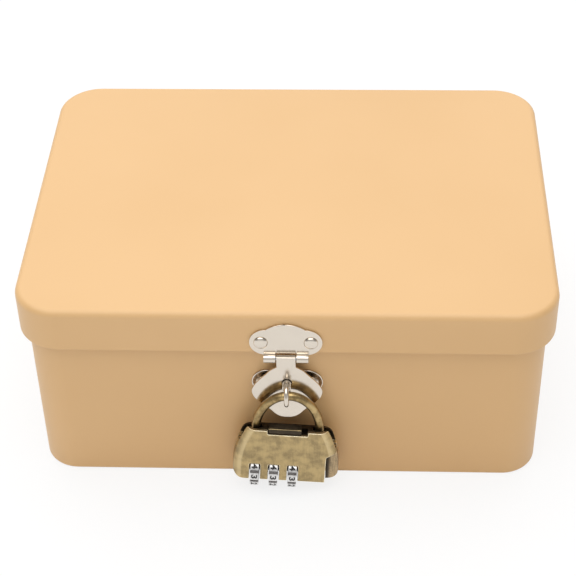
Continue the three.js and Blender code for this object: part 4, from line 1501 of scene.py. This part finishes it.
    def build(self) -> None:
        """Make every piece of the hasp."""
        nickel = [self.finishes.nickel]
        slot = "bright_nickel"
        Bench.finish("hasp_lid_plate", self.lid_plate(), "lid", nickel, slot, ["hasp_plate"])
        Bench.finish("hasp_swing_leaf", self.leaf(), "hasp", nickel, slot, ["hasp_leaf"])
        Bench.finish("staple_back_plate", self.staple_plate(), "box", nickel, slot, ["staple_plate"])
        Bench.finish("staple_ring", self.eye(), "box", nickel, slot, ["staple_eye"])
        pin = Bench.soften(self.crosswise(self.pin, self.outer), self.small_edge)
        Bench.finish("hasp_hinge_pin", pin, "lid", [self.finishes.steel], "plain_steel", ["hasp_pin"])
        bore = self.post + self.gap
        thick = self.washer_thick
        profile = [(bore, 0), (self.washer, 0), (self.washer, thick), (bore, thick)]
        washer = Bench.lathe("washer", profile, self.round_sides)
        Bench.quarter(washer, "X", (self.middle, self.body_face + self.tin + thick, self.post_z))
        washer = Bench.soften(washer, self.washer_edge)
        Bench.finish("staple_washer", washer, "box", [self.finishes.steel], "plain_steel", ["eye_washer"])
        for name, body, face, height in (("hasp_plate", "lid", self.lid_face, self.lobe_z),
                                         ("staple_plate", "box", self.body_face, self.staple_z)):
            places = [(self.middle + side * self.rivet_spread, face - self.plate, height) for side in (-1, 1)]
            made = Rivets().make(places, Facing.FRONT, self.finishes.nickel)
            Bench.finish(f"{name}_rivets", made, body, nickel, slot, [f"{name}_rivet_1", f"{name}_rivet_2"])


@dataclass
class Padlock:
    """The brass three-dial padlock, built in its own frame with the rim of its case at zero."""

    finishes: Finishes
    tilt: float = TILT
    hang: tuple[float, float, float] = (0.5, -73.77, 45.582)
    shift: float = 1.05
    top_half: float = 14.9
    half: float = 19.35
    height: float = 25.2
    bulge: float = 19.0
    corner: float = 4.7
    thickness: float = 8.0
    wall: float = 1.1
    side_round: float = 3.8
    face_round: float = 3.4
    parting: float = 0.15
    back_drop: float = 3.6
    stock: float = 8.0
    gap: float = 0.3
    tube: float = 1.6
    legs: float = 11.45
    arch_base: float = -2.2
    arch_rise: float = 16.5
    pivot: float = 4.5
    pivot_eye: float = 1.9
    leg_room: float = 2.4
    ledge_drop: float = 0.45
    rub_back: float = 2.1
    block_back: float = 1.0
    ledge_back: float = 1.8
    toe: float = 8.0
    toe_swing: float = 0.6
    notch: tuple[float, float, float] = (-7.1, 7.3, -1.8)
    slider_width: float = 11.8
    slider_proud: float = 0.8
    dial_drop: float = 23.2
    dial_radius: float = 6.4
    dial_width: float = 3.1
    dial_groove: float = 0.45
    pad_share: float = 0.72
    read_turn: float = 13.5
    window: float = 4.0
    window_drop: float = 17.2
    hub: float = 2.6
    button_left: float = 14.85
    button_half: float = 1.7
    button_top: float = 10.6
    button_travel: float = 1.5
    button_corner: float = 2.4
    front_edge: float = 0.24
    back_edge: float = 0.14
    inner_edge: float = 0.1
    toe_edge: float = 0.15
    slider_edge: float = 0.16
    button_edge: float = 0.25
    screw_edge: float = 0.12
    pin_edge: float = 0.05
    pads: int = 10
    pad_edge: float = 0.12
    pad_root: float = 0.6
    latch_notch: Point = (-6.8, -4.9)
    latch_deep: float = 1.0
    arch_steps: int = 121
    tube_sides: int = 32
    drum_sides: int = 80
    pivot_bore: float = 1.1
    slider_deep: float = 3.2
    slider_set: float = 0.4
    tongue_front: float = -2.6
    tongue_foot: float = -3.2
    digit_height: float = 2.25
    digit_width: float = 1.95
    digit_stretch: float = 1.35
    digit_lift: float = 0.03
    photo_digit: int = 3
    dials: dict[str, float] = field(default_factory=lambda: {"left": -11.15, "middle": -4.25, "right": 2.65})

    @property
    def place(self) -> Matrix:
        """The padlock's frame in the row frame."""
        return (Matrix.Translation(self.hang) @ Matrix.Rotation(math.radians(self.tilt), 4, "Y")
                @ Matrix.Translation((self.shift, 0, -self.arch_base - self.arch_rise)))

    def half_at(self, z: float) -> float:
        """Half the case's width at a height."""
        share = 1 + z / self.bulge
        return self.half - (self.half - self.top_half) * share * share

    def heights(self, top: float, steps: int) -> list[float]:
        """Even heights from a top down to where the case is widest."""
        return [top + (-self.bulge - top) * i / steps for i in range(steps + 1)]

    def outline(self, inset: float, top: float) -> list[Point]:
        """The case's outline, drawn in by inset, from a height down.

        Args:
            inset: How far it lies inside the case.
            top: Its upper edge.

        Returns:
            The outline.
        """
        foot = -self.height + inset
        side = self.half - inset
        corner = self.corner - inset
        right = [(self.half_at(z) - inset, z) for z in self.heights(top, 28)]
        right += Bench.bend((side, foot + corner), (side, foot), (side - corner, foot))
        return right + [(-x, z) for x, z in reversed(right)]

    def blank(self, inset: float, top: float) -> bpy.types.Mesh:
        """The case as a solid with rounded sides and a flat top and foot.

        Args:
            inset: How far it lies inside the case.
            top: Its upper edge.

        Returns:
            The mesh.
        """
        faces = self.thickness / 2 - inset
        reach = self.side_round - inset
        depth = self.face_round - inset
        turns = [math.pi / 2 * i / 14 for i in range(15)]
        ring = [(reach * (1 - math.cos(t)), faces - depth + depth * math.sin(t)) for t in turns]
        loops = []
        for z in [*self.heights(self.stock, 40), -self.height - self.stock]:
            side = self.half_at(max(z, -self.bulge)) - inset
            quarter = [(side - back, y) for back, y in ring]
            loop = ([(x, y, z) for x, y in quarter] + [(-x, y, z) for x, y in reversed(quarter)]
                    + [(-x, -y, z) for x, y in quarter] + [(x, -y, z) for x, y in reversed(quarter)])
            loops.append(loop)
        pillow = Bench.loft("pillow", loops)
        cookie = Bench.outline_prism("cookie", [self.outline(inset, top)], -self.thickness, self.thickness)
        return Bench.combine(pillow, [cookie], "INTERSECT")

    def shell_cuts(self) -> list[bpy.types.Mesh]:
        """What both shells give way to.

        Returns:
            The cutters.
        """
        far = self.thickness
        slot = self.tube + self.gap
        foot = -self.height - far
        cuts = [self.blank(self.wall, self.stock)]
        for x in self.dials.values():
            cuts.append(Bench.box((x - self.window / 2, x + self.window / 2), (-far, far), (foot, -self.window_drop)))
        heel = -self.pivot - self.pivot_eye - self.gap
        heel_right = -self.legs + self.pivot_eye + self.gap
        cuts.append(Bench.box((-self.half - far, heel_right), (-slot, slot), (heel, self.stock)))
        toe_left = self.legs - self.tube - self.gap - self.toe_swing
        cuts.append(Bench.box((toe_left, self.half + far), (-slot, slot), (-self.toe - self.gap, self.stock)))
        room = self.button_half + self.gap
        cuts.append(Bench.box((self.button_left - self.button_travel - self.gap, self.half + far), (-room, room),
                              (foot, -self.button_top + self.gap)))
        return cuts

    def shell(self, front: bool) -> bpy.types.Mesh:
        """One of the two shells.

        Args:
            front: Whether it is the front one.

        Returns:
            The mesh.
        """
        far = self.thickness
        side = (-far, -self.parting) if front else (self.parting, far)
        rim = self.stock if front else -self.back_drop
        slab = Bench.box((-self.half - far, self.half + far), side, (-self.height - far, rim))
        made = Bench.combine(self.blank(0.0, 0.0), [slab], "INTERSECT")
        cuts = self.shell_cuts()
        if front:
            cuts += [self.button_window(), self.slider_notch()]
        made = Bench.combine(made, cuts, "DIFFERENCE")
        edge = self.front_edge if front else self.back_edge
        made = Bench.soften(made, edge, angle=CREASE, material=CaseLook.RUBBED)
        slot = self.tube + self.gap
        near, flat = 0.05, 0.9
        # The slot walls and the hidden rims, at the front shell's rear edges and on the back rim's top, take dark
        # brass as painted shade, the notch's floor takes a lighter painted shade and the outer edges are rubbed.
        for face in made.polygons:
            spot, normal = face.center, face.normal
            in_slot = abs(abs(spot.y) - slot) < near and abs(normal.y) > flat and spot.z > -self.toe - 1
            if in_slot:
                face.material_index = CaseLook.DARK
            elif front:
                if face.material_index == CaseLook.RUBBED and spot.y > -self.rub_back:
                    face.material_index = CaseLook.DARK
                elif face.material_index == CaseLook.BRASS and normal.z > 0.8 and spot.z > self.notch[2] - 0.1:
                    face.material_index = CaseLook.SHADED
            elif normal.z > 0.5 and spot.z > -self.back_drop - 0.3:
                face.material_index = CaseLook.DARK
            elif face.material_index == CaseLook.RUBBED and spot.x < self.legs:
                face.material_index = CaseLook.BRASS
        return made

    def button_window(self) -> bpy.types.Mesh:
        """The cut-out in the front shell that shows the button.

        Returns:
            The cutter.
        """
        left = self.button_left - self.gap
        top = -self.button_top + self.gap
        right = self.half + self.thickness
        foot = -self.height - self.thickness
        curve = Bench.bend((right, top), (left, top), (left, top - self.button_corner))
        return Bench.outline_prism("window", [[(left, foot), (right, foot), *curve]], -self.thickness,
                                   self.button_half + self.gap)

    def slider_notch(self) -> bpy.types.Mesh:
        """The notch in the front rim, with rounded lower corners.

        Returns:
            The cutter.
        """
        left, right, foot = self.notch
        wide, tight = 0.8, 0.5
        bottom = Bench.arc((left + wide, foot + wide), wide, 180, 270, 8)
        bottom += Bench.arc((right - tight, foot + tight), tight, 270, 360, 8)
        return Bench.outline_prism("notch", [[(left, self.stock), *bottom, (right, self.stock)]], -self.thickness, 0.0)

    def shackle(self) -> bpy.types.Mesh:
        """The shackle: a tree lays its half ellipse, and its ends are worked afterwards.

        Returns:
            The mesh.
        """
        recipe = Recipe("shackle_arch")
        steps = recipe.count("Steps", self.arch_steps)
        legs = recipe.size("Half Width", self.legs)
        base = recipe.size("Arch Base", self.arch_base)
        rise = recipe.size("Arch Rise", self.arch_rise)
        heel = recipe.size("Heel End", -self.pivot)
        toe = recipe.size("Toe End", -self.toe)
        line = recipe.node("GeometryNodeMeshLine", {}, {"Count": steps})
        index = recipe.node("GeometryNodeInputIndex")
        angle = (index - 1.0) / (steps - 3.0) * -math.pi + math.pi
        across = angle.apply("COSINE")
        up = angle.apply("SINE")
        is_heel = index.apply("LESS_THAN", 0.5)
        is_toe = index.apply("GREATER_THAN", steps - 1.5)
        ends = is_heel + is_toe
        x = (across * (1.0 - ends) + is_toe - is_heel) * legs
        z = (base + rise * up) * (1.0 - ends) + is_heel * heel + is_toe * toe
        spot = recipe.node("ShaderNodeCombineXYZ", {}, {"X": x, "Z": z})
        moved = recipe.node("GeometryNodeSetPosition", {}, {"Geometry": line, "Position": spot})
        path = recipe.node("GeometryNodeMeshToCurve", {}, {"Mesh": moved})
        section = recipe.circle("Sides", self.tube_sides, "Tube Radius", self.tube)
        solid = recipe.node("GeometryNodeCurveToMesh", {},
                            {"Curve": path, "Profile Curve": section, "Fill Caps": True})
        recipe.close(solid, self.finishes.rod)
        made = recipe.run()
        eye = Bench.rod("Y", self.pivot_eye, (-self.tube, self.tube), (-self.legs, -self.pivot))
        made = Bench.combine(made, [eye], "UNION")
        inner = self.legs - self.tube
        cuts = [Bench.box((inner - self.latch_deep, inner + self.latch_deep), (-REACH, REACH), self.latch_notch),
                Bench.rod("Y", self.pivot_bore, (-REACH, REACH), (-self.legs, -self.pivot))]
        return Bench.soften(Bench.combine(made, cuts, "DIFFERENCE"), self.toe_edge, angle=BENT_CREASE, clamp=True)

    def slider(self) -> bpy.types.Mesh:
        """The slider block with its tongue.

        Returns:
            The mesh.
        """
        left = self.notch[0] + self.gap
        right = left + self.slider_width
        front = -self.thickness / 2 + self.slider_set
        back = front + self.slider_deep
        seat = self.notch[2] + self.gap
        head = Bench.box((left, right), (front, back), (seat, self.slider_proud))
        tongue = Bench.box((left, right), (self.tongue_front, back), (self.tongue_foot, seat + 0.01))
        made = Bench.soften(Bench.combine(head, [tongue], "UNION"), self.slider_edge, 3, CREASE, 1)
        # Only the edge at the front of the top stays rubbed.
        for face in made.polygons:
            if face.center.y > front + 0.2 or face.center.z < self.slider_proud - 0.2:
                face.material_index = 0
        return made

    def wheel(self, x: float) -> bpy.types.Mesh:
        """A dial: ten raised pads set round a grooved core by one tree.

        Args:
            x: The dial's middle.

        Returns:
            The mesh.
        """
        core = self.dial_radius - self.dial_groove
        half = self.dial_width / 2
        reach = math.pi / self.pads * self.pad_share
        soft = self.pad_edge
        arc = [reach * (2 * i / 10 - 1) for i in range(11)]
        pad = []
        for along, radius in ((-half, self.dial_radius - soft), (-half + soft, self.dial_radius),
                              (half - soft, self.dial_radius), (half, self.dial_radius - soft)):
            top = [(along, radius * math.sin(t), radius * math.cos(t)) for t in arc]
            root = core - self.pad_root
            low = [(along, root * math.sin(t), root * math.cos(t)) for t in reversed(arc)]
            pad.append(top + low)
        pattern = Bench.put("holder", Bench.loft("pad", pad))
        recipe = Recipe("dial_pads")
        one = recipe.pattern("Pad", pattern)
        count = recipe.count("Pads", self.pads)
        points = recipe.node("GeometryNodePoints", {}, {"Count": count})
        index = recipe.node("GeometryNodeInputIndex")
        first = recipe.size("First Pad", math.pi / 2 - math.radians(self.read_turn))
        turn = first + index * 2 * math.pi / count
        rotation = recipe.node("ShaderNodeCombineXYZ", {}, {"X": turn})
        inputs = {"Points": points, "Instance": one, "Rotation": rotation}
        recipe.close(recipe.node("GeometryNodeInstanceOnPoints", {}, inputs), self.finishes.dial)
        pads = recipe.run()
        bpy.data.objects.remove(pattern)
        profile = [(self.hub + self.gap, -half), (core, -half), (core, half), (self.hub + self.gap, half)]
        drum = Bench.lathe("drum", profile, self.drum_sides)
        Bench.quarter(drum, "Y", (0, 0, 0))
        drum.polygons.foreach_set("material_index", [1] * len(drum.polygons))
        made = Bench.merge("wheel", [pads, drum])
        made.transform(Matrix.Translation((x, 0, -self.dial_drop)))
        return made

    def digits(self, x: float) -> bpy.types.Mesh:
        """The ten digits of a dial, lying on their pads with their tops to the right.

        Args:
            x: The dial's middle.

        Returns:
            The mesh.
        """
        parts = []
        for number in range(self.pads):
            text = bpy.data.curves.new("digit", "FONT")
            text.body = str(number)
            text.align_x = "CENTER"
            text.align_y = "CENTER"
            text.size = 1.0
            text.offset = 0.03
            flat = Bench.evaluate(Bench.put("digit", text))
            turn = math.radians(self.read_turn + 360.0 / self.pads * (number - self.photo_digit))
            with Bench.edited(flat) as work:
                self.wrap(work, x, turn)
            parts.append(flat)
        return Bench.merge("digits", parts)

    def wrap(self, work: bmesh.types.BMesh, x: float, turn: float) -> None:
        """Bend a flat digit round its dial.

        Args:
            work: The digit, which lies flat and reads along X.
            x: The dial's middle.
            turn: The angle of its pad above the front, in radians.
        """
        bmesh.ops.triangulate(work, faces=work.faces)
        bmesh.ops.subdivide_edges(work, edges=work.edges, cuts=1)
        low = [min(v.co[i] for v in work.verts) for i in range(2)]
        high = [max(v.co[i] for v in work.verts) for i in range(2)]
        centre = [(a + b) / 2 for a, b in zip(low, high)]
        tall = self.digit_height / (high[1] - low[1])
        wide = min(self.digit_width / (high[0] - low[0]), tall * self.digit_stretch)
        radius = self.dial_radius + self.digit_lift
        for v in work.verts:
            along = (v.co.y - centre[1]) * tall
            angle = turn - (v.co.x - centre[0]) * wide / radius
            v.co = Vector((x + along, -radius * math.cos(angle), radius * math.sin(angle) - self.dial_drop))
        work.normal_update()
        axle = Vector((0, 0, -self.dial_drop))
        outward = [(face.calc_center_median() - axle) * Vector((0, 1, 1)) for face in work.faces]
        if sum(face.normal.dot(away) for face, away in zip(work.faces, outward)) < 0:
            bmesh.ops.reverse_faces(work, faces=work.faces)

    def chassis(self) -> bpy.types.Mesh:
        """The dark block between the shells, with a ledge behind the front shell's rim and a room round the heel.

        Returns:
            The mesh.
        """
        made = Bench.cad_copy("lock_chassis")
        made.transform(self.place.inverted())
        inset = self.wall + self.gap
        left, right, _ = self.notch
        room = Bench.rod("Z", self.leg_room, (-self.pivot + self.gap, self.stock), (-self.legs, 0.0))
        behind = Bench.box((-self.half, self.half), (self.block_back, self.thickness),
                           (-self.back_drop - self.wall, self.stock))
        parts = [self.carved(made, [room, behind])]
        for ends in ((-self.half, left), (right, self.half)):
            slab = Bench.box(ends, (-self.thickness, -self.ledge_back), (-self.pivot, self.stock))
            ledge = Bench.combine(self.blank(inset, -self.ledge_drop), [slab], "INTERSECT")
            hole = Bench.rod("Z", self.leg_room, (-self.pivot - 1, self.stock), (-self.legs, 0.0))
            parts.append(self.carved(ledge, [hole]))
        return Bench.merge("inner_block", parts)

    def carved(self, made: bpy.types.Mesh, cuts: Sequence[bpy.types.Mesh]) -> bpy.types.Mesh:
        """Cut a part of the inner block and soften its edges."""
        return Bench.soften(Bench.combine(made, cuts, "DIFFERENCE"), self.inner_edge, angle=CREASE, clamp=True)

    def dressed(self, node: str, body: str, material: bpy.types.Material, slot: str, edge: float = 0.1) -> None:
        """Carry over an inner piece with softened edges.

        Args:
            node: The CAD node.
            body: Its body.
            material: Its material.
            slot: The record's material slot.
            edge: How far its edges are rounded.
        """
        made = Bench.soften(Bench.cad_copy(node), edge, angle=CREASE, clamp=True)
        Bench.finish(f"{node}_dressed", made, body, [material], slot, [node])

    def build(self) -> None:
        """Make every piece of the padlock."""
        looks = self.finishes
        cased = [looks.brass, looks.rubbed, looks.dark, looks.shaded]
        for name, make, body, materials, slot, node in (
                ("case_front", lambda: self.shell(True), "padlock", cased, "aged_brass", "lock_front_shell"),
                ("case_back", lambda: self.shell(False), "padlock", cased, "aged_brass", "lock_back_shell"),
                ("shackle_bow", self.shackle, "bail", [looks.rod], "aged_brass", "shackle"),
                ("top_slider", self.slider, "slider", [looks.dark, looks.brass], "dark_brass", "code_slider"),
                ("inner_block", self.chassis, "padlock", [looks.dark], "dark_brass", "lock_chassis")):
            Bench.finish(name, make(), body, materials, slot, [node], self.place)
        self.dressed("release_button", "button", looks.button, "aged_brass", self.button_edge)
        self.dressed("latch_bar", "button", looks.steel, "plain_steel")
        for node in ("shackle_pivot_pin", "dial_axle", "dial_detent_spring", "button_spring"):
            self.dressed(node, "padlock", looks.steel, "plain_steel", self.pin_edge)
        for i in (1, 2):
            self.dressed(f"lock_case_screw_{i}", "padlock", looks.brass, "aged_brass", self.screw_edge)
        for name, x in self.dials.items():
            body = f"{name}_dial"
            Bench.finish(f"{name}_dial_wheel", self.wheel(x), body, [looks.dial, looks.groove], "dial_silver",
                         [f"dial_wheel_{name}"], self.place)
            Bench.finish(f"{name}_dial_digits", self.digits(x), body, [looks.ink], "dial_silver", (), self.place)
            self.dressed(f"dial_hub_{name}", body, looks.steel, "plain_steel")


@dataclass
class Studio:
    """The photograph's camera, the lamp, the pale floor and the bright room around them."""

    camera: tuple[float, float, float] = (24.04, -476.88, 441.72)
    yaw: float = 3.137
    pitch: float = 40.597
    roll: float = -1.485
    focal_px: float = 1600.71
    frame_px: float = 576.0
    sensor: float = 36.0
    nearest: float = 0.01
    farthest: float = 50.0
    ceiling_level: float = 1.15
    ceiling_low: float = 0.78
    ceiling_high: float = 0.92
    wall_level: float = 0.60
    back_level: float = 1.5
    side_dim: float = 0.28
    horizon_level: float = 0.85
    key: float = 8.2
    key_height: float = 1.1
    key_size: float = 1.5
    key_place: tuple[float, float] = (-0.15, -0.1)
    key_target: tuple[float, float, float] = (0.0, 0.0, 0.04)
    white: float = 0.8
    floor_half: float = 4.0
    floor_drop: float = 0.0002
    floor_grey: float = 0.9
    horizon: Point = (0.02, 0.30)
    side_range: Point = (0.3, 0.8)
    screen_near: Point = (0.25, 0.6)
    screen_foot: Point = (0.2, 0.45)
    screen_top: Point = (0.82, 0.95)

    def aim(self) -> Matrix:
        """The camera's place and direction.

        Returns:
            Its matrix.
        """
        yaw, pitch, roll = (math.radians(a) for a in (self.yaw, self.pitch, self.roll))
        right = Vector((math.cos(yaw), math.sin(yaw), 0.0))
        ahead = Vector((-math.sin(yaw), math.cos(yaw), 0.0))
        forward = ahead * math.cos(pitch) + Vector((0, 0, -1)) * math.sin(pitch)
        up = ahead * math.sin(pitch) + Vector((0, 0, 1)) * math.cos(pitch)
        side = right * math.cos(roll) + up * math.sin(roll)
        top = -right * math.sin(roll) + up * math.cos(roll)
        turned = Matrix((side, top, -forward)).transposed().to_4x4()
        return Matrix.Translation(Vector(self.camera) * MM) @ turned

    def build(self) -> None:
        """Make the camera, the lamp, the floor and the room."""
        lens = bpy.data.cameras.new("camera")
        lens.sensor_width = self.sensor
        lens.lens = self.focal_px / self.frame_px * self.sensor
        lens.clip_start = self.nearest
        lens.clip_end = self.farthest
        camera = Bench.put("camera", lens)
        camera.matrix_world = self.aim()
        bpy.context.scene.camera = camera
        self.lamp()
        self.ground()
        self.room()
        bpy.context.scene.view_settings.view_transform = "Standard"

    def lamp(self) -> None:
        """Hang the soft lamp over the box."""
        light = bpy.data.lights.new("key", "AREA")
        light.shape = "DISK"
        light.size = self.key_size
        light.energy = self.key
        lamp = Bench.put("key", light)
        lamp.location = (*self.key_place, self.key_height)
        lamp.rotation_euler = (Vector(self.key_target) - lamp.location).to_track_quat("-Z", "Y").to_euler()

    def ground(self) -> None:
        """Make the floor, which the camera and mirrors see nearly white."""
        half = self.floor_half
        made = Bench.mesh("floor", [(-half, -half, 0), (half, -half, 0), (half, half, 0), (-half, half, 0)],
                          [(0, 1, 2, 3)])
        floor = Bench.put("studio_floor", made)
        floor.location.z = -self.floor_drop
        material = bpy.data.materials.new("pale_floor")
        material.use_nodes = True
        graph = Graph(material.node_tree)
        graph.tree.nodes.clear()
        diffuse = graph.node("ShaderNodeBsdfDiffuse", {}, {"Color": (*[self.floor_grey] * 3, 1.0)})
        glow = graph.node("ShaderNodeEmission", {}, {"Color": (1.0, 1.0, 1.0, 1.0), "Strength": 1.0})
        path = graph.raw("ShaderNodeLightPath")
        direct, mirrored = (Value(graph, path.outputs[ray]) for ray in ("Is Camera Ray", "Is Glossy Ray"))
        seen = direct.apply("MAXIMUM", mirrored)
        mixed = graph.node("ShaderNodeMixShader", {}, {0: seen * self.white, 1: diffuse, 2: glow})
        graph.raw("ShaderNodeOutputMaterial", {}, {"Surface": mixed})
        made.materials.append(material)

    def room(self) -> None:
        """Light the room: ceiling, walls, a brighter horizon and a screen behind the box."""
        world = bpy.data.worlds.new("studio")
        world.use_nodes = True
        bpy.context.scene.world = world
        sky = Graph(world.node_tree)
        sky.tree.nodes.clear()
        parts = sky.raw("ShaderNodeSeparateXYZ", {}, {"Vector": sky.node("ShaderNodeTexCoord", output="Generated")})
        side, back, up = (Value(sky, parts.outputs[axis]) for axis in ("X", "Y", "Z"))
        ceiling = up.smooth(self.ceiling_low, self.ceiling_high)
        horizon = 1.0 - up.apply("ABSOLUTE").smooth(*self.horizon)
        walls = self.wall_level - self.side_dim * side.apply("ABSOLUTE").smooth(*self.side_range)
        level = walls + (self.ceiling_level - self.wall_level) * ceiling
        level = level + (self.horizon_level - self.wall_level) * horizon
        screen = back.smooth(*self.screen_near) * up.smooth(*self.screen_foot) * (1.0 - up.smooth(*self.screen_top))
        level = level + (self.back_level - self.wall_level) * screen
        seen = Value(sky, sky.raw("ShaderNodeLightPath").outputs["Is Camera Ray"])
        strength = level * (1.0 - seen) + seen
        light = sky.node("ShaderNodeBackground", {}, {"Color": (1.0, 1.0, 1.0, 1.0), "Strength": strength})
        sky.raw("ShaderNodeOutputWorld", {}, {"Surface": light})


def main() -> None:
    """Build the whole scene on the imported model."""
    logging.basicConfig(level=logging.INFO, format="%(message)s")
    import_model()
    finishes = Finishes()
    Studio().build()
    for part in (Tin(finishes), RearHinges(finishes), Hasp(finishes), Padlock(finishes)):
        LOG.info("building %s", type(part).__name__)
        part.build()


if __name__ == "__main__":
    main()
